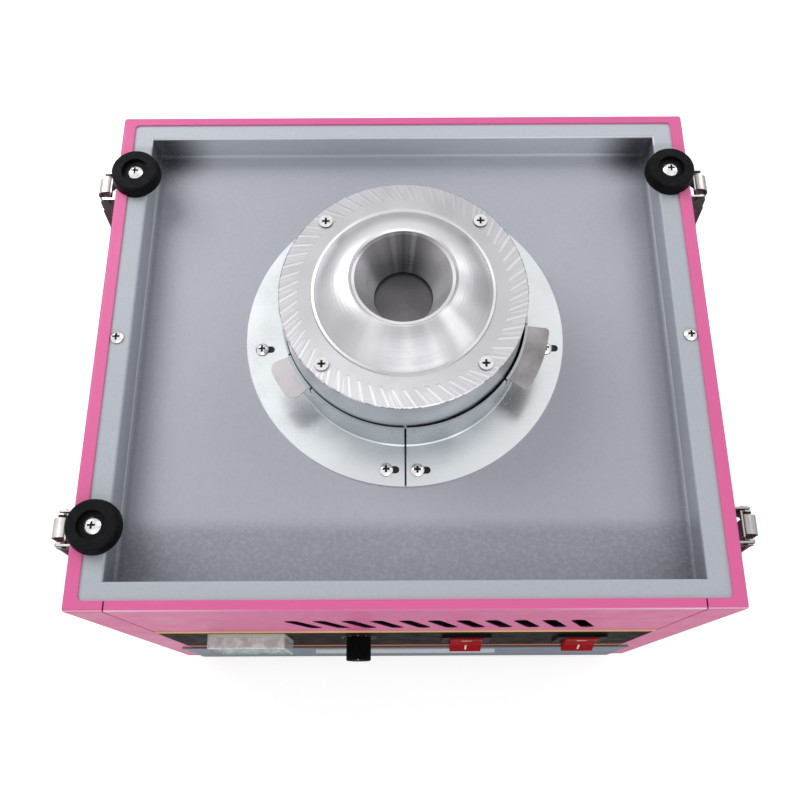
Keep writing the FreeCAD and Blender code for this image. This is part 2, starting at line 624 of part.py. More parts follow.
def motor_bearings():
    outer = BEARING_R - FIT
    tops = (MOTOR_TOP - 1.5 - BEARING_H, MOTOR_LOW + 1)
    return [ring(outer, SPINDLE_R + FIT, z, z + BEARING_H, 0, AXIS_Y) for z in tops]


STATOR_LOW, STATOR_HIGH = MOTOR_LOW + 30.0, MOTOR_LOW + 78.0


def motor_stator():
    """Laminated ring with its windings bulging out above and below."""
    outer, inner = MOTOR_R - 2 - FIT, 27.0
    return turned([(inner, STATOR_LOW), (29, STATOR_LOW), (29, STATOR_LOW - 9), (38, STATOR_LOW - 9),
                   (38, STATOR_LOW), (outer, STATOR_LOW), (outer, STATOR_HIGH), (38, STATOR_HIGH),
                   (38, STATOR_HIGH + 9), (29, STATOR_HIGH + 9), (29, STATOR_HIGH), (inner, STATOR_HIGH)])


def motor_rotor():
    return turned([(SPINDLE_R + FIT, STATOR_LOW - 3), (18, STATOR_LOW - 3), (26.4, STATOR_LOW + 1),
                   (26.4, STATOR_HIGH - 1), (18, STATOR_HIGH + 3), (SPINDLE_R + FIT, STATOR_HIGH + 3)])


def motor_fan():
    """Cooling fan on the lower end of the spindle."""
    hub = ring(10, SPINDLE_R + FIT, FAN_Z, FAN_Z + 14, 0, AXIS_Y)
    disc = ring(36, 9, FAN_Z, FAN_Z + 2, 0, AXIS_Y)
    blades = []
    for i in range(8):
        blade = box(9, 35, -1, 1, FAN_Z + 1, FAN_Z + 13)
        blade.rotate(V(0, 0, 0), V(0, 0, 1), 45 * i)
        blades.append(moved(blade, y=AXIS_Y))
    return fuse(hub, disc, *blades)


def spindle():
    return cyl(SPINDLE_R, FAN_Z - 2, CAP_Z, 0, AXIS_Y)


def slip_ring_hub():
    """Insulating sleeve on the spindle with collars that space the two rings."""
    z0, z1 = PLATE_Z + 8, BASE_FLOOR_Z - 9
    return turned([(SPINDLE_R + FIT, z0), (18, z0), (18, z0 + 2), (13, z0 + 2), (13, z1),
                   (SPINDLE_R + FIT, z1)])


def slip_rings():
    return [ring(16, 13 + FIT, z - 4, z + 4, 0, AXIS_Y) for z in (SLIP_LOW_Z, SLIP_HIGH_Z)]


BRUSH_Y, BRUSH_Z = 6.0, 5.0


def brush_places():
    """The side and height of each brush: one for either ring."""
    return [(-1, SLIP_LOW_Z), (1, SLIP_HIGH_Z)]


def brush_holders():
    """Boxes on posts that guide the carbon brushes."""
    holders = []
    for side, z in brush_places():
        x0, x1 = sorted((side * 21, side * 42))
        f0, f1 = sorted((side * 26, side * 42))
        body = fuse(box(x0, x1, AXIS_Y - 6, AXIS_Y + 6, z - 5.5, z + 5.5),
                    box(f0, f1, AXIS_Y - 6, AXIS_Y + 6, PLATE_Z + MOTOR_PLATE, z - 5))
        b0, b1 = sorted((side * 20, side * 39))
        bore = box(b0, b1, AXIS_Y - BRUSH_Y / 2 - FIT, AXIS_Y + BRUSH_Y / 2 + FIT,
                   z - BRUSH_Z / 2 - FIT, z + BRUSH_Z / 2 + FIT)
        holders.append(body.cut(bore))
    return holders


def brushes():
    blocks = []
    for side, z in brush_places():
        x0, x1 = sorted((side * 16.3, side * 38.9))
        blocks.append(box(x0, x1, AXIS_Y - BRUSH_Y / 2, AXIS_Y + BRUSH_Y / 2,
                          z - BRUSH_Z / 2, z + BRUSH_Z / 2))
    return blocks


# ---- controls -----------------------------------------------------------
def at(out):
    """Y of a plane that lies this far in front of the front face."""
    return FRONT - out


NEEDLE_Z = METER_Z - 13.0
NEEDLE_OUT = 5.6


def meter_housing():
    """Moulded base frame of the meter with a round barrel behind the panel."""
    frame = plate_on_front(METER_X, METER_Z, METER_W, METER_H, OVERLAY, 3.0, 2.5)
    barrel = cyl_y(METER_BARREL_R, at(1.0), at(-26), METER_X, METER_Z)
    return cut(fuse(frame, barrel), cyl_y(1.0 + FIT, at(4), at(-5), METER_X, NEEDLE_Z))


def meter_window():
    """Clear cover of the meter, hollow towards the dial."""
    block = plate_on_front(METER_X, METER_Z, METER_W, METER_H, 3.0, METER_OUT, 2.5)
    front = [e for e in block.Edges if all(abs(v.Y - at(METER_OUT)) < 0.01 for v in e.Vertexes)]
    hollow = plate_on_front(METER_X, METER_Z, METER_W - 4, METER_H - 4, 2.0, METER_OUT - 1.6, 1.5)
    return block.makeChamfer(0.8, front).cut(hollow)


def meter_dial():
    dial = plate_on_front(METER_X, METER_Z, METER_W - 5, METER_H - 5, 3.0, 3.8, 1.2)
    return dial.cut(cyl_y(1.0 + FIT, at(5), at(2), METER_X, NEEDLE_Z))


def meter_needle():
    """Pointer, hub and pivot of the meter, resting at the left end of its scale."""
    blade = prism([(-0.9, at(NEEDLE_OUT), -6), (0.9, at(NEEDLE_OUT), -6), (0.35, at(NEEDLE_OUT), 27),
                   (-0.35, at(NEEDLE_OUT), 27)], (0, -0.5, 0))
    pointer = fuse(blade, cyl_y(2.4, at(NEEDLE_OUT + 0.9), at(4.3), 0, 0),
                   cyl_y(1.0, at(4.4), at(-4.5), 0, 0))
    pointer.rotate(V(0, 0, 0), V(0, 1, 0), -45)
    return moved(pointer, METER_X, 0, NEEDLE_Z)


def heat_regulator():
    """Rotary regulator body behind the panel with its threaded bush."""
    body = fuse(cyl_y(12, at(-1.2), at(-16), KNOB_X, SWITCH_Z),
                cyl_y(BUSH_R, at(OVERLAY), at(-2), KNOB_X, SWITCH_Z))
    lugs = box(KNOB_X - 9, KNOB_X + 9, at(-6), at(-8), SWITCH_Z - 20, SWITCH_Z)
    return cut(fuse(body, lugs), cyl_y(3 + FIT, at(2), at(-12), KNOB_X, SWITCH_Z))


def regulator_shaft():
    return cyl_y(3, at(13), at(-11.5), KNOB_X, SWITCH_Z)


def heat_knob():
    """Ribbed black knob that turns on the regulator shaft."""
    body = cyl_y(KNOB_R, at(KNOB_OUT), at(0.9), KNOB_X, SWITCH_Z)
    rim = [e for e in body.Edges if all(abs(v.Y - at(KNOB_OUT)) < 0.01 for v in e.Vertexes)]
    body = body.makeChamfer(0.6, rim)
    flutes = []
    for i in range(24):
        a = math.radians(15 * i + 7.5)
        flutes.append(cyl_y(0.55, at(KNOB_OUT - 2.5), at(2.5), KNOB_X + (KNOB_R + 0.2) * math.cos(a),
                            SWITCH_Z + (KNOB_R + 0.2) * math.sin(a)))
    pointer = box(KNOB_X - 0.5, KNOB_X + 0.5, at(KNOB_OUT + 1), at(KNOB_OUT - 0.5),
                  SWITCH_Z + 1.5, SWITCH_Z + KNOB_R + 1)
    return cut(body, cyl_y(3 + FIT, at(13.2), at(0), KNOB_X, SWITCH_Z), pointer, *flutes)


ROCKER_PIVOT_OUT = -3.0
ROCKER_TILT = 12.0


def switch_body(name):
    """Rocker switch: guard bezel on the overlay and a box behind the panel."""
    x = SWITCH_X[name]
    bezel = plate_on_front(x, SWITCH_Z, BEZEL_W, BEZEL_H, OVERLAY, BEZEL_OUT, 3.0)
    shell = box(x - SWITCH_BODY_W / 2, x + SWITCH_BODY_W / 2, at(1), at(-22),
                SWITCH_Z - SWITCH_BODY_H / 2, SWITCH_Z + SWITCH_BODY_H / 2)
    terminals = [box(x - 3.2, x + 3.2, at(-21), at(-31), SWITCH_Z + dz - 0.4, SWITCH_Z + dz + 0.4)
                 for dz in (-9, 0, 9)]
    cavity = box(x - 11.7, x + 11.7, at(BEZEL_OUT + 1), at(-15), SWITCH_Z - 16.6, SWITCH_Z + 16.6)
    bore = cyl_x(1.5 + FIT, x - 13, x + 13, at(ROCKER_PIVOT_OUT), SWITCH_Z)
    return cut(fuse(bezel, shell, *terminals), cavity, bore)


def rocker(name):
    """Red rocker with its upper half pressed in."""
    x = SWITCH_X[name]
    outline = [(x - 11.25, at(out), SWITCH_Z + dz) for out, dz in
               ((7, 14.5), (5.6, 4), (5.6, -4), (7, -14.5), (-1, -13.5), (-7, -4), (-7, 4), (-1, 13.5))]
    body = prism(outline, (22.5, 0, 0))
    edges = [e for e in body.Edges if all(v.Y < at(5) for v in e.Vertexes)]
    body = fuse(body.makeFillet(0.8, edges),
                cyl_x(1.5, x - 12.8, x + 12.8, at(ROCKER_PIVOT_OUT), SWITCH_Z))
    body.rotate(V(x, at(ROCKER_PIVOT_OUT), SWITCH_Z), V(1, 0, 0), -ROCKER_TILT)
    return body


def control_board():
    """Regulator board on the left sheet: board, standoffs, heat sink and parts."""
    wall = -HALF_W + SHEET
    x0 = wall + 8
    y0, z0 = HALF_D - 127.5, BASE + 118.0
    board = box(x0, x0 + 1.6, y0, y0 + 90, z0, z0 + 65)
    standoffs = [cyl_x(3, wall, x0 + 0.5, y0 + y, z0 + z) for y in (6, 84) for z in (6, 59)]
    sink = [box(x0 + 1, x0 + 20, y0 + y, y0 + y + 2, z0 + 20, z0 + 60) for y in (20, 26, 32, 38)]
    sink_base = box(x0 + 1, x0 + 5, y0 + 18, y0 + 42, z0 + 20, z0 + 60)
    parts = [cyl_x(7, x0 + 1, x0 + 16, y0 + 64, z0 + 48),
             box(x0 + 1, x0 + 13, y0 + 52, y0 + 76, z0 + 10, z0 + 28)]
    return fuse(board, sink_base, *(standoffs + sink + parts))


def terminal_block():
    x0, y0, z0 = HALF_W - 140.5, HALF_D - 77.5, BASE + 2 * SHEET
    block = box(x0, x0 + 60, y0, y0 + 20, z0, z0 + 18)
    wells = [cyl(3.2, z0 + 8, z0 + 20, x0 + 9 + 14 * i, y0 + y) for i in range(4) for y in (4.5, 15.5)]
    return cut(block, *wells)


INLET_BACK = 24.0        # depth of the inlet body behind the rear sheet


def inlet_pins():
    """Three flat pins, each with a wire tab behind the inlet body."""
    pins = []
    for x, z in ((INLET_X - 7, INLET_Z - 2), (INLET_X, INLET_Z + 3), (INLET_X + 7, INLET_Z - 2)):
        pins.append(fuse(box(x - 1, x + 1, HALF_D - INLET_BACK - 1, HALF_D - 2, z - 2, z + 2),
                         box(x - 1, x + 1, HALF_D - INLET_BACK - 8, HALF_D - INLET_BACK, z - 3, z + 3)))
    return pins


def power_inlet():
    """Appliance inlet set into the rear sheet, open to the rear."""
    flange = box(INLET_X - 16, INLET_X + 16, HALF_D, HALF_D + INLET_OUT, INLET_Z - 13, INLET_Z + 13)
    body = box(INLET_X - 13.7, INLET_X + 13.7, HALF_D - INLET_BACK, HALF_D + 1,
               INLET_Z - 10.2, INLET_Z + 10.2)
    back = HALF_D - INLET_BACK + 7
    mouth = HALF_D + INLET_OUT + 1
    outline = [(-12, -8.2), (12, -8.2), (12, 3.4), (7.2, 8.2), (-7.2, 8.2), (-12, 3.4)]
    socket = prism([(INLET_X + dx, back, INLET_Z + dz) for dx, dz in outline], (0, mouth - back, 0))
    return cut(fuse(flange, body), socket, *inlet_pins())


# ---- drawer -------------------------------------------------------------
DRAWER_HALF = RETURN_X - 19.5
PULL_HALF = 72.0
PULL_DROP = 12.0         # pull, below the top edge of the drawer front
DRAWER_LAP = 7.5         # drawer front over either return
DRAWER_PLAY = 0.2        # behind the lapping edges
DRAWER_OUT = DRAWER_PLAY + SHEET
DRAWER_FLOOR = BASE + 2 * SHEET + 3.0
DRAWER_WALL = 64.0
DRAWER_BACK = HALF_D - 107.5
DRAWER_SHEET = 1.0


def drawer_floor():
    """Flat floor plate of the drawer, which slides under the motor."""
    return box(-DRAWER_HALF, DRAWER_HALF, at(DRAWER_PLAY), DRAWER_BACK,
               DRAWER_FLOOR, DRAWER_FLOOR + DRAWER_SHEET)


def drawer_walls():
    """Two side plates of the drawer, with a front and a back plate welded in between them."""
    y0, z0, z1 = at(DRAWER_PLAY), DRAWER_FLOOR + DRAWER_SHEET, DRAWER_FLOOR + DRAWER_WALL
    inside = DRAWER_HALF - DRAWER_SHEET
    return [box(-DRAWER_HALF, -inside, y0, DRAWER_BACK, z0, z1),
            box(inside, DRAWER_HALF, y0, DRAWER_BACK, z0, z1),
            box(-inside, inside, y0, y0 + DRAWER_SHEET, z0, z1),
            box(-inside, inside, DRAWER_BACK - DRAWER_SHEET, DRAWER_BACK, z0, z1)]


def drawer_front():
    """Front plate of the drawer, lapping over the returns, with folds that enter the opening."""
    half, wide = RETURN_X - 1.0, RETURN_X + DRAWER_LAP
    y0, z0, z1 = at(DRAWER_OUT), BASE + 2.5, TOP - DRAWER_LINE
    face = box(-wide, wide, y0, y0 + SHEET, z0, z1)
    top_fold = box(-half, half, y0, FRONT + 9, z1 - SHEET, z1)
    side_folds = [box(x, x + SHEET, y0, FRONT + 9, z0, z1) for x in (-half, half - SHEET)]
    return fuse(face, top_fold, *side_folds)


def drawer_pull():
    """Bright angle strip across the drawer front, gripped from below."""
    z1, out = TOP - DRAWER_LINE - PULL_DROP, DRAWER_OUT
    return fuse(box(-PULL_HALF, PULL_HALF, at(out + 0.8), at(out), z1 - 12, z1),
                box(-PULL_HALF, PULL_HALF, at(out + 2.6), at(out), z1 - 0.8, z1),
                box(-PULL_HALF, PULL_HALF, at(out + 2.6), at(out + 1.8), z1 - 3, z1))


def drawer_runners():
    """Angle runners on the bottom plate, one under either edge of the drawer."""
    z0 = BASE + 2 * SHEET
    runners = []
    for side in (-1, 1):
        l0, l1 = sorted((side * (DRAWER_HALF - 14), side * (DRAWER_HALF + SLIDE + 1.5)))
        w0, w1 = sorted((side * (DRAWER_HALF + SLIDE), side * (DRAWER_HALF + SLIDE + 1.5)))
        runners.append(fuse(box(l0, l1, FRONT + 12, DRAWER_BACK + 30, z0, DRAWER_FLOOR),
                            box(w0, w1, FRONT + 12, DRAWER_BACK + 30, z0, DRAWER_FLOOR + 22)))
    return runners


# ---- latches ------------------------------------------------------------
# Drawn on the right sheet at y = 0. out is the distance from the sheet and
# drop is measured from the cabinet top, negative downwards.
PIN_OUT, PIN_DROP = 9.0, -13.0
BAIL_OUT, BAIL_DROP = 10.0, -21.0
EAR_IN, EAR_T = 9.6, 1.2
CHEEK_T = 1.0
WIRE_R = 0.9
BAIL_LEG_Y = 7.0
CURL_R = 6.2
LEVER_HALF = 5.8         # curl and upper handle, between the legs of the bail


def latch_point(out, drop, y=0.0):
    return (HALF_W + out, y, TOP + drop)


def latch_slab(outline, y0, y1):
    """A plate across Y whose outline is given as (out, drop) points."""
    return prism([latch_point(out, drop, y0) for out, drop in outline], (0, y1 - y0, 0))


def latch_base():
    """Riveted plate with two wedge ears."""
    plate = box(HALF_W, HALF_W + 1.5, -EAR_IN - EAR_T, EAR_IN + EAR_T, TOP - 48, TOP - 7)
    corners = [e for e in plate.Edges if abs(e.tangentAt(e.FirstParameter).x) > 0.9]
    plate = plate.makeFillet(3, corners)
    wedge = [(0, -8.5), (10.6, -8.5), (11.9, -9.8), (11.9, -15), (1.5, -27), (0, -27)]
    ears = [latch_slab(wedge, y, y + EAR_T) for y in (EAR_IN, -EAR_IN - EAR_T)]
    pin_x, pin_z = HALF_W + PIN_OUT, TOP + PIN_DROP
    holes = [cyl_y(1.6 + FIT, -20, 20, pin_x, pin_z)]
    holes += [cyl_x(1.55, HALF_W - 1, HALF_W + 3, dy, LATCH_RIVET_Z)
              for dy in (-LATCH_RIVET_Y, LATCH_RIVET_Y)]
    return cut(fuse(plate, *ears), *holes)


def latch_rivet_set():
    """Two rivets through the sheet and two pivot rivets through the ears."""
    rivets = []
    for dy in (-LATCH_RIVET_Y, LATCH_RIVET_Y):
        rivets.append(fuse(cyl_x(1.5, HALF_W - SHEET - 1, HALF_W + 2, dy, LATCH_RIVET_Z),
                           cyl_x(2.8, HALF_W + 1.5, HALF_W + 2.4, dy, LATCH_RIVET_Z),
                           cyl_x(2.4, HALF_W - SHEET - 1, HALF_W - SHEET, dy, LATCH_RIVET_Z)))
    pin_x, pin_z = HALF_W + PIN_OUT, TOP + PIN_DROP
    outer = EAR_IN + EAR_T
    for side in (-1, 1):
        a0, a1 = sorted((side * (EAR_IN - SLIDE - CHEEK_T), side * (outer + 0.5)))
        h0, h1 = sorted((side * outer, side * (outer + 0.8)))
        rivets.append(fuse(cyl_y(1.6, a0, a1, pin_x, pin_z), cyl_y(2.8, h0, h1, pin_x, pin_z)))
    return rivets


def latch_lever():
    """Lever with a curled top, two cheeks and a handle that hangs outward.

    The handle is narrow between the cheeks, so the legs of the bail can pass it.
    """
    half = EAR_IN - SLIDE
    outline = [(13.5, -14.4), (15.0, -14.1), (17.6, -48.4), (18.7, -49.6), (17.8, -50.4), (16.3, -49.0)]
    wide = latch_slab([(0, -24), (25, -24), (25, -52), (0, -52)], -half, half)
    handle = fuse(latch_slab(outline, -LEVER_HALF, LEVER_HALF),
                  latch_slab(outline, -half, half).common(wide))
    pin_x, pin_z = HALF_W + PIN_OUT, TOP + PIN_DROP
    curl = cyl_y(CURL_R, -LEVER_HALF, LEVER_HALF, pin_x, pin_z).cut(
        cyl_y(CURL_R - 1.3, -20, 20, pin_x, pin_z))
    keep = latch_slab([(PIN_OUT, PIN_DROP), (PIN_OUT + 12, PIN_DROP - 4), (PIN_OUT + 12, PIN_DROP + 12),
                       (PIN_OUT - 7, PIN_DROP + 12)], -7, 7)
    cheek = [(6.0, -15.5), (6.6, -10.8), (9.0, -9.8), (12.2, -10.4), (14.3, -15), (15.4, -29),
             (13.6, -29), (8.8, -24.6), (7.4, -22.6)]
    cheeks = [latch_slab(cheek, y, y + CHEEK_T) for y in (half - CHEEK_T, -half)]
    body = fuse(handle, curl.common(keep), *cheeks)
    holes = [cyl_y(1.6 + FIT, -20, 20, pin_x, pin_z),
             cyl_y(WIRE_R + FIT, -20, 20, HALF_W + BAIL_OUT, TOP + BAIL_DROP)]
    return cut(body, *holes)


def latch_bail():
    """Wire loop on the lever that reaches up for the keeper of the bowl."""
    foot = latch_point(BAIL_OUT, BAIL_DROP)
    head = latch_point(4.4, -5.6)
    pieces = []
    for side in (-1, 1):
        y = side * BAIL_LEG_Y
        y0, y1 = sorted((y, side * (EAR_IN - SLIDE - 0.1)))
        low, high = V(foot[0], y, foot[2]), V(head[0], y, head[2])
        leg = Part.makeCylinder(WIRE_R, (high - low).Length, low, high - low)
        pieces += [cyl_y(WIRE_R, y0, y1, foot[0], foot[2]), leg,
                   Part.makeSphere(WIRE_R, low), Part.makeSphere(WIRE_R, high)]
    pieces.append(cyl_y(WIRE_R, -BAIL_LEG_Y, BAIL_LEG_Y, head[0], head[2]))
    return fuse(*pieces)


def at_latch(shape, side, y):
    """Set a latch piece on its sheet: side 1 is right, -1 is left."""
    return moved(shape if side > 0 else mirrored(shape), y=y)


# ---- every piece --------------------------------------------------------
def build():
    save("cabinet_wrap", cabinet_wrap())
    save("front_panel", front_panel())
    save("control_overlay", control_overlay())
    save("top_tray", top_tray())
    save("tray_rails", *tray_rails())
    save("bottom_plate", bottom_plate())
    save("feet", *feet())
    save("pan_screws", *pan_screws())
    for name in ("left", "right"):
        save("collar_" + name, collar_half(name))
    save("bumpers", *[bumper(x, y) for x, y in BUMPER_PLACES])

    save("head_base", head_base())
    save("head_cover", head_cover())
    save("head_screws", *head_screws())
    save("sugar_funnel", sugar_funnel())
    save("heating_ring", heating_ring())
    save("hub_cap", hub_cap())
    save("spindle", spindle())
    save("slip_ring_hub", slip_ring_hub())
    save("slip_rings", *slip_rings())
    save("brush_holders", *brush_holders())
    save("brushes", *brushes())
    save("motor_plate", motor_plate())
    save("motor_isolators", *motor_isolators())
    save("motor_housing", motor_housing())
    save("motor_end_cap", motor_end_cap())
    save("motor_bearings", *motor_bearings())
    save("motor_stator", motor_stator())
    save("motor_rotor", motor_rotor())
    save("motor_fan", motor_fan())

    save("meter_housing", meter_housing())
    save("meter_window", meter_window())
    save("meter_dial", meter_dial())
    save("meter_needle", meter_needle())
    save("heat_regulator", heat_regulator())
    save("regulator_shaft", regulator_shaft())
    save("heat_knob", heat_knob())
    for name in SWITCH_X:
        save(name + "_switch", switch_body(name))
        save(name + "_rocker", rocker(name))
    save("control_board", control_board())
    save("terminal_block", terminal_block())
    save("power_inlet", power_inlet())
    save("inlet_pins", *inlet_pins())

    save("drawer_floor", drawer_floor())
    save("drawer_walls", *drawer_walls())
    save("drawer_front", drawer_front())
    save("drawer_pull", drawer_pull())
    save("drawer_runners", *drawer_runners())

    bases, rivets = [], []
    for side, y in LATCH_PLACES:
        place = ("rear" if y > 0 else "front") + ("_right" if side > 0 else "_left")
        bases.append(at_latch(latch_base(), side, y))
        rivets += [at_latch(rivet, side, y) for rivet in latch_rivet_set()]
        save("latch_lever_" + place, at_latch(latch_lever(), side, y))
        save("latch_bail_" + place, at_latch(latch_bail(), side, y))
    save("latch_bases", *bases)
    save("latch_rivets", *rivets)


os.makedirs("parts", exist_ok=True)
build()
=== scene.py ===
"""Countertop candy floss machine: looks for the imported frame.

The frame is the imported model: +Z up, the front looks towards -Y. Materials
work in metres, as object coordinates do. The small printed pieces are drawn
in millimetres, and piece() turns them into metres.
"""
import math

import bpy
import bmesh
from mathutils import Matrix, Vector


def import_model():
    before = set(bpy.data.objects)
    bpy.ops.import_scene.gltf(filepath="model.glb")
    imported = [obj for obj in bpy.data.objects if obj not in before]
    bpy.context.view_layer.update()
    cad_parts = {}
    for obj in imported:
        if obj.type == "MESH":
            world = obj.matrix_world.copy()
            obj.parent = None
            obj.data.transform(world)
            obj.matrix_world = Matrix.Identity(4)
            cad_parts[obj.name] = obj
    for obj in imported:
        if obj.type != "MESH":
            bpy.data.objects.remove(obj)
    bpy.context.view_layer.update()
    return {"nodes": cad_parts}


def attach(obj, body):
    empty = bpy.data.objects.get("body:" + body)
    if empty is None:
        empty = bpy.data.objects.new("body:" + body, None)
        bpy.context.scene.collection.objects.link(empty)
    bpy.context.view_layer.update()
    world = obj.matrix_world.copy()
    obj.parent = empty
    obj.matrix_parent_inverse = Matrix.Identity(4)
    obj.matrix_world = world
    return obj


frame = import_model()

NODES = frame["nodes"]
MM = 0.001

# places that this script shares with the frame, in millimetres
AXIS_Y = 18.0            # spinner axis
TOP = 316.0              # flat top of the cabinet
FRONT = -160.5           # front face
CONTROL_Z = 171.0        # middle of the switches and the knob
METER = (-108.6, 173.5)  # middle of the meter, x and z
KNOB_X = -33.0
SWITCHES = {"power_rocker": 43.0, "heat_rocker": 123.5}

# places that the masks of the materials use, in metres
TRAY_FLOOR = 0.2948
TRAY_RIM = 0.3148
HEAD_RING = 0.3570       # top of the flat ring of the head
SEAM_X = 0.1695          # seams on both sides of the front panel


def srgb(r, g, b):
    """A colour written 0..255 as it looks on a screen, as Blender's linear RGBA."""
    def channel(c):
        c /= 255.0
        return c / 12.92 if c <= 0.04045 else ((c + 0.055) / 1.055) ** 2.4
    return (channel(r), channel(g), channel(b), 1.0)


def scaled(colour, factor):
    """A linear colour made darker or lighter."""
    return tuple(min(1.0, c * factor) for c in colour[:3]) + (1.0,)


# ---- materials ----------------------------------------------------------
class Material:
    """A node material under construction, with short names for common nodes."""

    def __init__(self, name, **sockets):
        self.data = bpy.data.materials.new(name)
        self.data.use_nodes = True
        self.tree = self.data.node_tree
        self.bsdf = self.tree.nodes["Principled BSDF"]
        for key, value in sockets.items():
            socket = key.replace("_", " ").title().replace("Ior", "IOR")
            self.bsdf.inputs[socket].default_value = value
        self.coords = self.add("ShaderNodeTexCoord").outputs["Object"]

    def add(self, kind, links=None, **props):
        """A new node, with its properties set and its inputs linked or filled."""
        node = self.tree.nodes.new(kind)
        for key, value in props.items():
            setattr(node, key, value)
        for socket, value in (links or {}).items():
            self.put(node.inputs[socket], value)
        return node

    def put(self, socket, value):
        if isinstance(value, bpy.types.NodeSocket):
            self.tree.links.new(value, socket)
        else:
            socket.default_value = value

    def set(self, socket, value):
        """Links or fills an input of the shader itself."""
        self.put(self.bsdf.inputs[socket], value)

    # coordinates
    def xyz(self, vector=None):
        return self.add("ShaderNodeSeparateXYZ", {0: vector or self.coords}).outputs

    def normal(self):
        """The three parts of the normal, in the object's own axes."""
        return self.xyz(self.add("ShaderNodeTexCoord").outputs["Normal"])

    def polar(self):
        """Distance from the spinner axis, azimuth in turns, and height."""
        x, y, z = self.xyz()
        y = self.math("SUBTRACT", y, AXIS_Y * MM)
        radius = self.math("SQRT", self.math("ADD", self.times(x, x), self.times(y, y)))
        turns = self.math("DIVIDE", self.math("ARCTAN2", y, x), 2 * math.pi)
        return radius, turns, z

    def stretched(self, x, y, z):
        """Object coordinates scaled per axis, in 1/m."""
        return self.add("ShaderNodeMapping", {"Vector": self.coords, "Scale": (x, y, z)}).outputs[0]

    # textures
    def noise(self, scale, detail=3.0, rough=0.55, vector=None):
        links = {"Vector": vector or self.coords, "Scale": scale, "Detail": detail, "Roughness": rough}
        return self.add("ShaderNodeTexNoise", links).outputs["Fac"]

    def cells(self, scale, feature="F1"):
        links = {"Vector": self.coords, "Scale": scale}
        return self.add("ShaderNodeTexVoronoi", links, feature=feature).outputs["Distance"]

    # numbers and masks
    def math(self, operation, a, b=0.0, c=0.0):
        node = self.add("ShaderNodeMath", operation=operation)
        for socket, value in zip(node.inputs, (a, b, c)):
            self.put(socket, value)
        return node.outputs[0]

    def times(self, first, *others):
        """The product of masks or numbers."""
        for other in others:
            first = self.math("MULTIPLY", first, other)
        return first

    def span(self, value, low, high, to_low=0.0, to_high=1.0, smooth=False):
        """The value from low..high spread over to_low..to_high, clamped."""
        node = self.add("ShaderNodeMapRange", {"Value": value, "From Min": low, "From Max": high,
                                               "To Min": to_low, "To Max": to_high})
        node.interpolation_type = "SMOOTHSTEP" if smooth else "LINEAR"
        return node.outputs[0]

    def near(self, value, centre, outside, inside):
        """1 within inside of the centre, falling to 0 at outside."""
        return self.span(self.math("ABSOLUTE", self.math("SUBTRACT", value, centre)), outside, inside)

    # colours
    def mix(self, factor, a, b):
        node = self.add("ShaderNodeMix", data_type="RGBA")
        for index, value in ((0, factor), (6, a), (7, b)):
            self.put(node.inputs[index], value)
        return node.outputs[2]

    def layers(self, base, *layers):
        """The base under layers of (mask, strength, colour 0..255)."""
        for mask, strength, colour in layers:
            base = self.mix(self.times(mask, strength), base, srgb(*colour))
        return base

    def tint(self, colour, amount, scale, rgb):
        """The colour, blended a little towards rgb by cloudy noise."""
        return self.mix(self.span(self.noise(scale, 4), 0.35, 0.7, 0.0, amount), colour, rgb)

    def ramp(self, factor, stops):
        """Hard-edged bands of (position, colour)."""
        node = self.add("ShaderNodeValToRGB", {"Fac": factor})
        node.color_ramp.interpolation = "CONSTANT"
        elements = node.color_ramp.elements
        while len(elements) < len(stops):
            elements.new(0.5)
        for element, (position, colour) in zip(elements, stops):
            element.position, element.color = position, colour
        return node.outputs[0]

    def bump(self, *layers):
        """Chained bumps from (height, depth in metres) pairs. Returns the finished material."""
        normal = None
        for height, depth in layers:
            links = {"Height": height, "Distance": depth, "Strength": 1.0}
            if normal is not None:
                links["Normal"] = normal
            normal = self.add("ShaderNodeBump", links).outputs[0]
        self.set("Normal", normal)
        return self.data


def powder_coat(name, colour, rough, grain=900.0, depth=2.2e-5, painted_light=None):
    """Powder coating: orange peel, faint clouds and a few pin specks, under the painted light that is given.
    """
    m = Material(name, roughness=rough, specular_ior_level=0.3)
    specks = m.span(m.noise(2600, 1), 0.68, 0.76)
    base = m.tint(colour, 0.10, 14, scaled(colour, 0.72))
    base = m.mix(m.times(specks, 0.15), base, scaled(colour, 1.35))
    m.set("Base Color", painted_light(m, base) if painted_light else base)
    m.set("Roughness", m.span(m.noise(60, 3), 0.3, 0.7, rough - 0.06, rough + 0.08))
    return m.bump((m.noise(grain, 2, 0.4), depth), (m.noise(90, 2), depth * 2))


def pink_painted_light(m, base):
    """Painted highlight on the bend above the front face, strongest at its ends; painted shade on the cut
    edges of the vents.
    """
    x, y, z = m.xyz()
    side = m.math("ABSOLUTE", x)
    # painted highlight on the bend above the front face
    bend = m.times(m.span(y, -0.15955, -0.15985), m.span(z, 0.3149, 0.3153),
                   m.span(side, 0.07, 0.17, 0.15, 0.95))
    behind_face = m.times(m.span(y, -0.16045, -0.16025), m.span(y, -0.1540, -0.1550))
    # painted shade on the cut edges of the vents
    cut = m.times(behind_face, m.span(z, 0.2755, 0.2745), m.span(side, 0.1668, 0.1660))
    return m.layers(base, (bend, 1.0, (255, 226, 242)), (cut, 1.0, (40, 14, 26)))


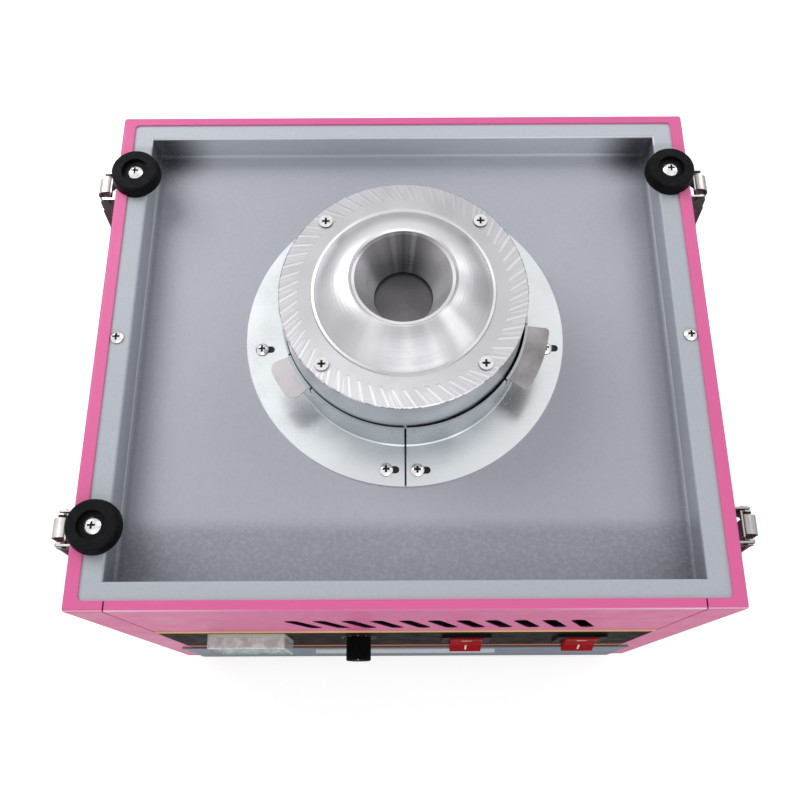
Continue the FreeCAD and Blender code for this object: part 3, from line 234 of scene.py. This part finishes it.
def tray_paint():
    """Grey stove enamel of the sunken tray, paler on the rim than on the floor, with painted highlights and
    painted shade.
    """
    m = Material("tray_enamel", roughness=0.42, specular_ior_level=0.35)
    x, y, z = m.xyz()
    side = m.math("ABSOLUTE", x)
    base = m.mix(m.span(z, TRAY_FLOOR + 0.0007, TRAY_RIM - 0.0013), srgb(183, 186, 196), srgb(187, 193, 201))
    base = m.tint(base, 0.08, 9, srgb(150, 154, 166))
    rear = m.span(y, 0.150, 0.153)              # from just before the rear wall on
    side_foot = m.span(side, 0.1685, 0.1695)    # from the foot of the side walls on
    rear_bend_highlight = m.times(m.near(z, 0.3141, 0.0006, 0.0003), rear)
    foot_shade = m.times(m.span(side, 0.1440, 0.1690, smooth=True), m.span(z, 0.2975, 0.2960))
    foot_highlight = m.times(m.near(z, 0.2959, 0.0007, 0.0002), m.math("MAXIMUM", rear, side_foot))
    rear_corner_shade = m.times(m.span(side, 0.128, 0.163, smooth=True), m.span(y, 0.128, 0.154, smooth=True),
                          m.span(z, 0.3142, 0.3128))
    front_corner_shade = m.times(m.span(y, -0.095, -0.142, smooth=True), m.span(z, 0.3138, 0.3125),
                           m.span(side, 0.095, 0.165, smooth=True))
    seam_gap_shade = m.times(m.near(side, SEAM_X, 0.0016, 0.0012), m.span(y, -0.1543, -0.1545))
    front_shadow_band = m.times(m.span(y, -0.101, -0.114, smooth=True), m.span(z, 0.3120, 0.3100))
    side_wall_shade = m.times(m.span(side, 0.1655, 0.1675), m.span(z, 0.3130, 0.3120))
    peel = m.noise(460, 2, 0.5)
    flecks = m.math("MULTIPLY_ADD", front_shadow_band, 0.05, 0.04)
    under_flange_shade = m.times(m.span(m.polar()[0], 0.1012, 0.1008), m.span(z, 0.2956, 0.2952))
    base = m.layers(base,
                    # painted light on the rear wall and rim, and a painted highlight on the rear bend
                    (rear, 0.30, (226, 232, 240)),
                    (rear_bend_highlight, 1.0, (255, 255, 255)),
                    (foot_shade, 0.42, (104, 108, 118)),
                    # painted highlight along the foot of the rear and side walls
                    (foot_highlight, 0.5, (240, 244, 250)),
                    # painted shade in the rear and front corners and in the seam gaps beside the front panel
                    (rear_corner_shade, 0.88, (34, 37, 45)),
                    (front_corner_shade, 0.45, (84, 86, 96)),
                    (seam_gap_shade, 1.0, (40, 6, 20)),
                    # painted shadow of the front wall along the front of the floor, and painted shade on the
                    # side walls
                    (front_shadow_band, 0.50, (118, 121, 130)),
                    (side_wall_shade, 0.30, (110, 112, 120)),
                    (m.span(peel, 0.50, 0.66), flecks, (222, 226, 233)),
                    (m.span(peel, 0.46, 0.32), flecks, (96, 99, 108)),
                    # painted shade on the floor under the collar flange
                    (under_flange_shade, 1.0, (22, 22, 25)))
    m.set("Base Color", base)
    m.set("Roughness", m.span(m.noise(35, 4), 0.3, 0.7, 0.34, 0.5))
    return m.bump((m.cells(1300, "SMOOTH_F1"), 2.0e-5), (peel, 3.0e-5))


def zinc_sheet():
    """Galvanised sheet with fine grain from front to back and faint stains."""
    colour = srgb(176, 180, 184)
    m = Material("zinc_sheet", metallic=1.0, roughness=0.38, anisotropic=0.35)
    grain = m.noise(1.0, 3, 0.6, m.stretched(1600, 40, 1600))
    base = m.mix(m.span(grain, 0.3, 0.7, 0.0, 0.25), colour, scaled(colour, 0.82))
    m.set("Base Color", m.tint(base, 0.25, 22, scaled(colour, 0.55)))
    m.set("Roughness", m.math("ADD", m.span(grain, 0.3, 0.7, -0.05, 0.07),
                              m.span(m.noise(30, 4), 0.3, 0.7, 0.33, 0.48)))
    return m.bump((grain, 6e-6), (m.noise(150, 2), 1.5e-5))


def milled(m, base, radius, turns, z):
    """Cutter streaks in the outer band of the ring, burrs along its edge and a shade at its rear."""
    streaks_per_turn, slant = 60.0, 6.9         # slant in radians of azimuth per metre of radius
    in_band = m.times(m.span(radius, 0.0615, 0.0632), m.span(z, HEAD_RING - 0.0010, HEAD_RING - 0.0004))
    groove = m.times(in_band, m.span(z, HEAD_RING - 0.00008, HEAD_RING - 0.00018))
    burr = m.times(m.span(radius, 0.0730, 0.07325), m.span(m.noise(260, 3), 0.50, 0.56),
                   m.span(z, HEAD_RING - 0.0018, HEAD_RING - 0.0014))
    base = m.layers(base, (groove, 0.45, (238, 240, 246)), (burr, 0.65, (52, 50, 54)))
    along = m.math("ADD", m.times(turns, streaks_per_turn),
                   m.times(radius, -streaks_per_turn * slant / (2 * math.pi)))
    heights = []
    for count, width, strength in ((1.0, 0.050, 0.40), (2.4, 0.035, 0.26)):
        cell = m.times(along, count)
        line = m.near(m.math("FRACT", cell), 0.5, width * count, width * count * 0.4)
        seed = {"W": m.math("FLOOR", cell)}
        luck = m.add("ShaderNodeTexWhiteNoise", seed, noise_dimensions="1D").outputs["Value"]
        reach = m.span(m.math("SUBTRACT", radius, m.times(luck, 0.007)), 0.0595, 0.0605)
        streak = m.times(line, in_band, reach, m.span(luck, 0.15, 0.5))
        base = m.layers(base, (streak, strength, (244, 245, 250)))
        heights.append((streak, -2.0e-5))
    away_from_rear = m.math("ABSOLUTE", m.math("SUBTRACT", turns, 0.25))
    shade = m.times(m.span(away_from_rear, 0.20, 0.06, smooth=True), m.span(radius, 0.0545, 0.0560))
    return m.layers(base, (shade, 0.75, (166, 165, 170))), heights


def turned_metal(name, colour, rough, fans=(), metallic=1.0, streaks=False):
    """Metal turned on a lathe: fine rings, soft clouds and fans of light and shade."""
    m = Material(name, metallic=metallic, roughness=rough, anisotropic=0.55)
    radius, turns, z = m.polar()
    m.set("Tangent", m.add("ShaderNodeTangent", direction_type="RADIAL", axis="Z").outputs[0])
    links = {"W": m.math("ADD", m.times(radius, 2600), m.times(z, 1800)), "Scale": 1.0, "Detail": 2.0}
    rings = m.add("ShaderNodeTexNoise", links, noise_dimensions="1D").outputs["Fac"]
    base = m.mix(m.span(rings, 0.3, 0.7, 0.0, 0.16), colour, scaled(colour, 0.80))
    base = m.tint(base, 0.16, 40, scaled(colour, 0.62))
    for turn, half, strength, shade in fans:
        away = m.math("ABSOLUTE", m.math("SUBTRACT", turns, turn))
        away = m.math("MINIMUM", away, m.math("SUBTRACT", 1.0, away))
        fan = m.span(away, half, half * 0.2, smooth=True)
        if streaks:
            fan = m.times(fan, m.span(radius, 0.0555, 0.0500))
        base = m.layers(base, (fan, strength, shade))
    heights = [(rings, 8e-6), (m.noise(1400, 2), 7e-6)]
    if streaks:
        base, cuts = milled(m, base, radius, turns, z)
        heights += cuts
    m.set("Base Color", base)
    m.set("Roughness", m.math("ADD", m.span(rings, 0.3, 0.7, -0.04, 0.05),
                              m.span(m.noise(55, 4), 0.3, 0.7, rough - 0.06, rough + 0.1)))
    return m.bump(*heights)


def cast_metal(name, colour, rough, metallic=1.0, grain=1100.0):
    """Cast or pressed material with a grainy skin."""
    m = Material(name, metallic=metallic, roughness=rough)
    pits = m.cells(grain, "SMOOTH_F1")
    base = m.mix(m.span(pits, 0.05, 0.5, 0.3, 0.0), colour, scaled(colour, 0.6))
    m.set("Base Color", m.tint(base, 0.2, 30, scaled(colour, 0.6)))
    m.set("Roughness", m.span(m.noise(80, 4), 0.3, 0.7, rough - 0.08, rough + 0.1))
    return m.bump((pits, 2.5e-5), (m.noise(300, 3), 2e-5))


def latch_plate():
    """Nickel of the latches, bright outside; painted light on the left ones, painted black shade where faces
    look at the cabinet or along it.
    """
    m = Material("latch_plate", roughness=0.2)
    x = m.xyz()[0]
    normal = m.normal()
    outward = m.times(normal[0], m.math("SIGN", x))
    # painted shade, black, on faces that look at the cabinet or along it
    edge = m.times(m.span(normal[2], 0.55, 0.35), m.span(outward, 0.60, 0.45))
    painted_shade = m.times(m.math("MAXIMUM", edge, m.span(outward, -0.25, -0.5)), 0.94)
    # painted light: the latches on the left lighter than those on the right
    plate = m.mix(m.span(x, -0.01, 0.01), srgb(222, 218, 215), srgb(178, 175, 173))
    plate = m.tint(plate, 0.18, 90, srgb(150, 146, 143))
    m.set("Base Color", m.mix(painted_shade, plate, srgb(12, 10, 12)))
    m.set("Metallic", m.math("SUBTRACT", 1.0, painted_shade))
    m.set("Roughness", m.math("MULTIPLY_ADD", painted_shade, 0.35, m.span(m.noise(160, 4), 0.35, 0.7, 0.14, 0.3)))
    return m.bump((m.noise(500, 2), 3e-6))


def screw_plate():
    """Bright plate of the screws, with painted shade, black, in the cross recess and along the rim of the
    head.
    """
    m = Material("screw_plate", metallic=1.0, roughness=0.2)
    up = m.xyz(m.add("ShaderNodeNewGeometry").outputs["True Normal"])[2]
    z = m.xyz()[2]
    # painted shade, black, in the cross recess and along the rim of the head
    recess = m.times(m.span(up, 0.9985, 0.9995), m.span(z, HEAD_RING + 0.0003, HEAD_RING))
    painted_shade = m.math("MAXIMUM", recess, m.span(up, 0.35, 0.25))
    plate = m.tint(srgb(236, 236, 238), 0.3, 300, srgb(150, 146, 142))
    m.set("Base Color", m.mix(painted_shade, plate, srgb(20, 20, 22)))
    m.set("Metallic", m.math("SUBTRACT", 1.0, painted_shade))
    m.set("Roughness", m.math("MULTIPLY_ADD", painted_shade, 0.5, m.span(m.noise(400, 3), 0.3, 0.7, 0.12, 0.3)))
    return m.bump((m.noise(1500, 2), 6e-6))


def collar_sheet():
    """Bright collar sheet: darker ears, a painted sheen on the left ear, painted shade on the wall, darker
    patches by the head.
    """
    m = Material("collar_sheet", metallic=1.0, roughness=0.26, anisotropic=0.3)
    radius, _, z = m.polar()
    grain = m.noise(1.0, 3, 0.6, m.stretched(40, 1600, 1600))
    base = m.mix(m.span(grain, 0.3, 0.7, 0.0, 0.16), srgb(221, 225, 228), srgb(200, 204, 208))
    base = m.tint(base, 0.16, 20, srgb(170, 174, 178))
    # cloudy darker patches on the flange near the head
    dark_patches = m.times(m.span(radius, 0.094, 0.079), m.span(m.noise(26, 3), 0.46, 0.66))
    # painted shade on the collar wall
    wall = m.times(m.span(radius, 0.0768, 0.0762), m.span(z, 0.2965, 0.2975))
    base = m.layers(base, (dark_patches, 0.35, (160, 164, 170)), (wall, 0.8, (160, 166, 172)))
    ears = m.times(m.span(z, 0.3243, 0.3246), m.span(radius, 0.0763, 0.0770))
    # darker, mottled grey of the ears
    ear_grey = m.mix(m.span(m.noise(38, 3), 0.35, 0.65), srgb(126, 122, 124), srgb(168, 163, 166))
    # painted sheen: the left ear lighter than the right
    left_ear_sheen = m.span(m.xyz()[0], 0.01, -0.01, 0.0, 0.45)
    m.set("Base Color", m.mix(ears, base, m.mix(left_ear_sheen, ear_grey, srgb(216, 212, 215))))
    m.set("Roughness", m.span(m.noise(34, 4), 0.3, 0.7, 0.22, 0.36))
    return m.bump((grain, 6e-6), (m.noise(150, 2), 1.5e-5))


def rubber():
    """Moulded rubber with a fine matt skin and a trace of dust, with painted shade, deep black, below the
    bumper tops.
    """
    m = Material("bumper_rubber", roughness=0.55, specular_ior_level=0.1)
    dust = m.times(m.span(m.noise(140, 5, 0.65), 0.5, 0.75), m.span(m.noise(2200, 1), 0.45, 0.7))
    # painted shade, deep black, in the recess and on the sides below the bumper tops
    low = m.span(m.xyz()[2], 0.3225, 0.3220)
    m.set("Base Color", m.layers(srgb(8, 9, 13), (low, 0.75, (2, 2, 3)), (dust, 0.14, (120, 120, 124))))
    m.set("Roughness", m.span(m.noise(220, 3), 0.3, 0.7, 0.48, 0.65))
    return m.bump((m.noise(2400, 2, 0.5), 1.6e-5), (m.noise(240, 2), 3e-5))


def moulded(name, colour, rough, grain=2.0e-5, **more):
    """Moulded plastic with a spark-eroded skin."""
    m = Material(name, roughness=rough, **more)
    skin = m.noise(1800, 2, 0.5)
    base = m.mix(m.span(skin, 0.4, 0.65, 0, 0.08), colour, scaled(colour, 1.5))
    m.set("Base Color", m.tint(base, 0.12, 60, scaled(colour, 0.75)))
    m.set("Roughness", m.span(m.noise(100, 3), 0.3, 0.7, rough - 0.07, rough + 0.08))
    return m.bump((skin, grain))


def printed_band():
    """Printed film of the control band: edge lines on near black, with a grained varnish."""
    m = Material("control_print", roughness=0.5, specular_ior_level=0.02)
    low, high = 0.0946, 0.211                   # heights that the ramp runs between, in metres
    def at(below_top):
        return ((TOP - below_top) * MM - low) / (high - low)
    stops = [(0.0, srgb(58, 20, 16)), (at(212.5), srgb(224, 130, 92)), (at(204.0), srgb(30, 26, 24)),
             (at(196.0), srgb(26, 22, 18)), (at(116.0), srgb(34, 18, 14)), (at(113.0), srgb(255, 196, 130)),
             (at(108.0), srgb(255, 220, 170))]
    bands = m.ramp(m.span(m.xyz()[2], low, high), stops)
    bands = m.tint(bands, 0.25, 16, srgb(20, 19, 17))
    grain = m.noise(1500, 2)
    m.set("Base Color", m.mix(m.span(grain, 0.45, 0.7, 0, 0.04), bands, srgb(104, 104, 98)))
    m.set("Roughness", m.span(m.noise(70, 3), 0.3, 0.7, 0.42, 0.58))
    return m.bump((grain, 8e-6), (m.noise(160, 2), 1.5e-5))


def clear_cover():
    """Moulded cover of the meter: a clear window to the front, sides hazy with fine scuffs."""
    m = Material("clear_cover", roughness=0.2, ior=1.47, transmission_weight=0.1, specular_ior_level=0.6)
    haze = m.span(m.noise(170, 5, 0.6), 0.38, 0.62)
    window = m.span(m.math("ABSOLUTE", m.normal()[1]), 0.90, 0.98)
    m.set("Base Color", m.mix(haze, srgb(244, 255, 253), srgb(196, 211, 216)))
    m.set("Alpha", m.span(window, 0.0, 1.0, 1.0, 0.12))
    side = m.math("MULTIPLY_ADD", haze, 0.2, 0.08)
    m.set("Roughness", m.times(side, m.span(window, 0.0, 1.0, 1.0, 0.15)))
    return m.bump((m.noise(600, 3), 1.0e-5), (m.noise(90, 2), 2e-5))


def laminated():
    """Stacked motor laminations, 0.5 mm each."""
    m = Material("laminations", metallic=0.9, roughness=0.45)
    sheets = m.math("FRACT", m.times(m.xyz()[2], 2000))
    line = m.near(sheets, 0.5, 0.5, 0.36)
    base = m.mix(line, srgb(40, 36, 34), srgb(118, 112, 108))
    m.set("Base Color", m.tint(base, 0.3, 60, srgb(70, 50, 40)))
    return m.bump((line, 4e-5))


def circuit_board():
    """Green board with copper tracks and solder dots."""
    m = Material("circuit_board", roughness=0.4, coat_weight=0.4, coat_roughness=0.15)
    tracks = m.span(m.cells(160, "DISTANCE_TO_EDGE"), 0.03, 0.06)
    dots = m.span(m.cells(420), 0.16, 0.10)
    base = m.mix(tracks, srgb(40, 122, 74), srgb(22, 84, 50))
    m.set("Base Color", m.layers(base, (dots, 0.8, (190, 190, 184))))
    return m.bump((tracks, -3e-5), (dots, 6e-5))


# fans of light and shade on turned metal: azimuth in turns, half width, strength, colour
DOME_FANS = [(-0.325, 0.030, 0.30, (236, 236, 240)), (-0.212, 0.030, 0.55, (172, 172, 178)),
             (-0.268, 0.026, 0.45, (176, 176, 183)), (-0.165, 0.022, 0.35, (172, 172, 178)),
             (-0.122, 0.030, 0.60, (250, 250, 253)), (-0.015, 0.060, 0.65, (150, 150, 156)),
             (-0.390, 0.035, 0.40, (178, 178, 184)), (0.470, 0.050, 0.20, (190, 190, 196)),
             (0.250, 0.160, 0.50, (240, 240, 244))]
FUNNEL_FANS = [(0.250, 0.190, 0.86, (62, 61, 66)), (0.375, 0.060, 0.55, (80, 79, 84)),
               (0.213, 0.014, 0.30, (188, 188, 192)), (0.287, 0.016, 0.22, (180, 180, 184)),
               (0.250, 0.012, 0.35, (40, 40, 44)), (0.480, 0.070, 0.75, (252, 252, 254)),
               (0.010, 0.070, 0.75, (250, 250, 253)), (-0.250, 0.160, 0.25, (214, 212, 216))]
materials = {
    # pink with a painted highlight on the front bend and painted shade in the vents
    "pink": powder_coat("pink_powder_coat", srgb(234, 108, 166), 0.34, depth=1.0e-5, painted_light=pink_painted_light),
    "tray": tray_paint(),
    "zinc": zinc_sheet(),
    "collar": collar_sheet(),
    "cover": turned_metal("turned_cover", srgb(199, 198, 202), 0.36, DOME_FANS, streaks=True),
    "base": turned_metal("turned_base", srgb(198, 202, 207), 0.36),
    "funnel": turned_metal("spun_funnel", srgb(222, 220, 224), 0.34, FUNNEL_FANS, 0.6),
    "cap": turned_metal("distributor_cap", srgb(113, 111, 116), 0.5, metallic=0.8),
    "steel": turned_metal("ground_steel", srgb(196, 196, 200), 0.25),
    "latch": latch_plate(),
    "screw": screw_plate(),
    "rubber": rubber(),
    "black": moulded("black_moulding", srgb(10, 10, 11), 0.5, specular_ior_level=0.12),
    "knob": moulded("knob_moulding", srgb(3, 3, 3), 0.6, specular_ior_level=0.08),
    "red": moulded("red_moulding", srgb(158, 3, 8), 0.35, 4e-6, specular_ior_level=0.02),
    "print": printed_band(),
    "clear": clear_cover(),
    "dial": moulded("dial_card", srgb(236, 235, 230), 0.6, 6e-6),
    "ink": moulded("black_ink", srgb(24, 24, 24), 0.55),
    "white_ink": moulded("white_ink", srgb(244, 236, 232), 0.45),
    "front": powder_coat("drawer_paint", srgb(126, 138, 152), 0.4),
    "pull": moulded("pull_strip", srgb(255, 255, 255), 0.3, 8e-6, specular_ior_level=0.6),
    "heater": cast_metal("heater_alloy", srgb(110, 98, 92), 0.4),
    "motor": powder_coat("motor_paint", srgb(74, 78, 84), 0.5, 500.0),
    "laminations": laminated(),
    "insulator": moulded("insulator", srgb(122, 74, 42), 0.5),
    "copper": turned_metal("slip_copper", srgb(196, 120, 82), 0.3),
    "brass": cast_metal("brass", srgb(208, 178, 108), 0.3, grain=2200.0),
    "carbon": cast_metal("carbon", srgb(38, 38, 40), 0.7, 0.0),
    "white": moulded("white_moulding", srgb(230, 230, 224), 0.35),
    "board": circuit_board(),
}
# nodes of each material; the nodes of the latches aren't listed and get the latch plate
FINISHES = {
    "pink": "cabinet_wrap front_panel",
    "print": "control_overlay",
    "tray": "top_tray",
    "zinc": "tray_rails bottom_plate motor_plate heat_regulator drawer_floor drawer_walls drawer_runners",
    "rubber": "feet bumpers motor_isolators",
    "screw": "pan_screws head_screws",
    "collar": "collar_left collar_right",
    "base": "head_base",
    "cover": "head_cover",
    "funnel": "sugar_funnel",
    "heater": "heating_ring",
    "cap": "hub_cap",
    "steel": "spindle motor_bearings",
    "insulator": "slip_ring_hub brush_holders",
    "copper": "slip_rings",
    "carbon": "brushes",
    "motor": "motor_housing motor_end_cap",
    "laminations": "motor_stator motor_rotor",
    "black": "motor_fan power_switch heat_switch power_inlet",
    "white": "meter_housing terminal_block",
    "clear": "meter_window",
    "dial": "meter_dial",
    "ink": "meter_needle",
    "brass": "regulator_shaft inlet_pins",
    "knob": "heat_knob",
    "red": "power_rocker heat_rocker",
    "board": "control_board",
    "front": "drawer_front",
    "pull": "drawer_pull",
}
finish_of = {node: finish for finish, nodes in FINISHES.items() for node in nodes.split()}
for node, obj in NODES.items():
    obj.data.materials.clear()
    obj.data.materials.append(materials[finish_of.get(node, "latch")])


# ---- camera, lights and stage -------------------------------------------
WORLD_LIGHT = 0.44    # strength of the white world as a light
FLOOR_LIFT = 0.6      # glow of the floor that only the camera sees


def camera():
    """The photograph's point of view, fitted to the corners of the cabinet."""
    data = bpy.data.cameras.new("camera")
    data.sensor_width = 36.0
    data.lens = 39.47
    data.shift_x = -0.00434
    data.clip_start, data.clip_end = 0.01, 20
    place = Matrix.Translation((0.00004, -0.22273, 0.81495))
    turn = Matrix.Rotation(math.radians(0.118), 4, "Z")
    tilt = Matrix.Rotation(math.radians(20.606), 4, "X")
    roll = Matrix.Rotation(math.radians(-0.388), 4, "Z")
    obj = bpy.data.objects.new("camera", data)
    obj.matrix_world = place @ turn @ tilt @ roll
    bpy.context.scene.collection.objects.link(obj)
    bpy.context.scene.camera = obj


def area_light(name, location, target_z, size, power):
    """A square soft light that looks at a point above the middle of the floor."""
    data = bpy.data.lights.new(name, "AREA")
    data.energy, data.size = power, size
    obj = bpy.data.objects.new(name, data)
    obj.location = location
    aim = Vector((0, 0, target_z)) - Vector(location)
    obj.rotation_euler = aim.to_track_quat("-Z", "Y").to_euler()
    bpy.context.scene.collection.objects.link(obj)


def world():
    """White for the camera and for reflections, and softer as a light."""
    w = bpy.data.worlds.new("studio")
    bpy.context.scene.world = w
    w.use_nodes = True
    tree = w.node_tree
    background = tree.nodes["Background"]
    background.inputs["Color"].default_value = (1, 1, 1, 1)
    path = tree.nodes.new("ShaderNodeLightPath")
    seen = path.outputs["Is Camera Ray"]
    for other in ("Is Glossy Ray", "Is Transmission Ray"):
        node = tree.nodes.new("ShaderNodeMath")
        node.operation = "MAXIMUM"
        tree.links.new(seen, node.inputs[0])
        tree.links.new(path.outputs[other], node.inputs[1])
        seen = node.outputs[0]
    level = tree.nodes.new("ShaderNodeMapRange")
    level.inputs["To Min"].default_value = WORLD_LIGHT
    level.inputs["To Max"].default_value = 1.0
    tree.links.new(seen, level.inputs["Value"])
    tree.links.new(level.outputs[0], background.inputs["Strength"])


def floor():
    """A plain pale floor that keeps the shadow of the object."""
    bm = bmesh.new()
    bmesh.ops.create_grid(bm, x_segments=8, y_segments=8, size=3.0)
    mesh = bpy.data.meshes.new("floor")
    bm.to_mesh(mesh)
    bm.free()
    obj = bpy.data.objects.new("floor", mesh)
    obj.location = (0, 0, -0.0004)
    bpy.context.scene.collection.objects.link(obj)
    m = bpy.data.materials.new("floor_white")
    m.use_nodes = True
    tree = m.node_tree
    bsdf = tree.nodes["Principled BSDF"]
    bsdf.inputs["Base Color"].default_value = (0.86, 0.86, 0.86, 1)
    bsdf.inputs["Roughness"].default_value = 0.9
    bsdf.inputs["Emission Color"].default_value = (1, 1, 1, 1)
    path = tree.nodes.new("ShaderNodeLightPath")
    lift = tree.nodes.new("ShaderNodeMath")
    lift.operation = "MULTIPLY"
    lift.inputs[1].default_value = FLOOR_LIFT
    tree.links.new(path.outputs["Is Camera Ray"], lift.inputs[0])
    tree.links.new(lift.outputs[0], bsdf.inputs["Emission Strength"])
    mesh.materials.append(m)


camera()
world()
floor()
area_light("key", (-1.0, 0.75, 1.3), 0.25, 0.9, 11.5)
area_light("rear", (1.1, 0.8, 1.3), 0.25, 1.0, 5.0)
area_light("fill", (0.3, -1.2, 0.9), 0.2, 1.4, 5.0)
bpy.context.scene.view_settings.view_transform = "Standard"


# ---- printed marks, in millimetres --------------------------------------
GLYPHS = {    # strokes on a grid two wide and four high
    "0": [[(.5, 0), (1.5, 0), (2, .7), (2, 3.3), (1.5, 4), (.5, 4), (0, 3.3), (0, .7), (.5, 0)]],
    "1": [[(.3, 3.2), (1.1, 4), (1.1, 0)]],
    "2": [[(0, 3.3), (.5, 4), (1.5, 4), (2, 3.4), (2, 2.7), (0, 0), (2, 0)]],
    "3": [[(0, 3.5), (.5, 4), (1.5, 4), (2, 3.4), (2, 2.6), (1.4, 2.1), (2, 1.6), (2, .6), (1.5, 0),
           (.5, 0), (0, .5)]],
    "5": [[(2, 4), (.2, 4), (0, 2.3), (1.4, 2.5), (2, 1.9), (2, .6), (1.5, 0), (.5, 0), (0, .5)]],
    "V": [[(0, 4), (1, 0), (2, 4)]],
}


def piece(name, bm, body, material):
    """Turns a bmesh in millimetres into a shown piece that rides on a body."""
    bmesh.ops.scale(bm, vec=(MM, MM, MM), verts=bm.verts)
    bmesh.ops.recalc_face_normals(bm, faces=bm.faces)
    mesh = bpy.data.meshes.new(name)
    bm.to_mesh(mesh)
    bm.free()
    obj = bpy.data.objects.new(name, mesh)
    bpy.context.scene.collection.objects.link(obj)
    mesh.materials.append(materials[material])
    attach(obj, body)


def polar_point(centre, radius, degrees):
    """The (x, z) point at a radius and an angle, which runs from +X towards +Z."""
    angle = math.radians(degrees)
    return centre[0] + radius * math.cos(angle), centre[1] + radius * math.sin(angle)


def stroke(bm, points, width, y, thick=0.06):
    """A flat line through (x, z) points, raised from the plane at y towards the front."""
    half = width / 2
    for (x0, z0), (x1, z1) in zip(points, points[1:]):
        dx, dz = x1 - x0, z1 - z0
        length = math.hypot(dx, dz)
        ux, uz = dx / length * half, dz / length * half
        corners = [(x0 - ux - uz, z0 - uz + ux), (x0 - ux + uz, z0 - uz - ux),
                   (x1 + ux + uz, z1 + uz - ux), (x1 + ux - uz, z1 + uz + ux)]
        rings = [[bm.verts.new((x, level, z)) for x, z in corners] for level in (y, y - thick)]
        bm.faces.new(rings[0])
        bm.faces.new(rings[1])
        for i in range(4):
            j = (i + 1) % 4
            bm.faces.new((rings[0][i], rings[0][j], rings[1][j], rings[1][i]))


def word(bm, text, x, z, height, y):
    """Characters centred on (x, z)."""
    unit = height / 4
    step = 2.9 * unit
    left = x - (step * (len(text) - 1) + 2 * unit) / 2
    for i, glyph in enumerate(text):
        for line in GLYPHS[glyph]:
            stroke(bm, [(left + i * step + px * unit, z - height / 2 + pz * unit) for px, pz in line],
                   height * 0.14, y)


def meter_scale():
    """Ticks and numbers of the voltmeter, on the dial."""
    y = FRONT - 3.83                                           # 0.03 off the face of the dial
    pivot = (METER[0], METER[1] - 13.0)
    ticks, arc, short, long, numbers = 30, 25.5, 27.2, 28.6, 31.2    # radii from the pivot
    bm = bmesh.new()
    def on_dial(radius, tick):
        return polar_point(pivot, radius, 135 - 90 * tick / ticks)
    stroke(bm, [on_dial(arc, i) for i in range(ticks + 1)], 0.25, y)
    for i in range(ticks + 1):
        major = i % 5 == 0
        stroke(bm, [on_dial(arc, i), on_dial(long if major else short, i)], 0.4 if major else 0.22, y)
        if major:
            x, z = on_dial(numbers, i)
            x = min(max(x, METER[0] - 20.5), METER[0] + 19.6)
            word(bm, str(i * 10), x, min(z, METER[1] + 21.0), 2.3, y)
    word(bm, "V", METER[0], METER[1] - 4.0, 4.2, y)
    piece("meter_scale", bm, "cabinet", "ink")


def rocker_marks(body, x):
    """On and off signs, raised on the two halves of a rocker."""
    pivot_y, tilt = 3.0, -12.0                    # pivot behind the front face, tilt at rest
    flat, proud, slope = 4.0, 5.6, 1.4 / 10.5     # half height and reach of the flat middle, rise beyond it
    to_place = Matrix.Translation((0, FRONT, CONTROL_Z))
    pivot = Matrix.Translation((x, pivot_y, 0.0))
    tilted = to_place @ pivot @ Matrix.Rotation(math.radians(tilt), 4, "X") @ pivot.inverted()
    for name, points in (("on", [(x - 3.0, 8.2), (x + 3.0, 8.2)]), ("off", [(x, -4.2), (x, -9.6)])):
        bm = bmesh.new()
        stroke(bm, points, 1.2, 0.0, 0.12)
        for vert in bm.verts:
            vert.co.y -= proud + (abs(vert.co.z) - flat) * slope
        bmesh.ops.transform(bm, matrix=tilted, verts=bm.verts)
        piece(body + "_" + name, bm, body, "white_ink")


def knob_scale():
    """Ticks round the heat knob."""
    inner, short, long = 11.2, 12.6, 13.6
    bm = bmesh.new()
    for i in range(11):
        radii = (inner, long if i % 5 == 0 else short)
        points = [polar_point((KNOB_X, CONTROL_Z), radius, 225 - 27 * i) for radius in radii]
        stroke(bm, points, 0.5, FRONT - 0.5)
    piece("knob_scale", bm, "cabinet", "white_ink")


def knob_line():
    """White line laid in the pointer groove of the knob."""
    bm = bmesh.new()
    stroke(bm, [(KNOB_X, CONTROL_Z + 2.4), (KNOB_X, CONTROL_Z + 7.6)], 0.7, FRONT - 16.0, 0.3)
    piece("knob_line", bm, "regulator", "white_ink")


meter_scale()
knob_scale()
knob_line()
for switch, switch_x in SWITCHES.items():
    rocker_marks(switch, switch_x)
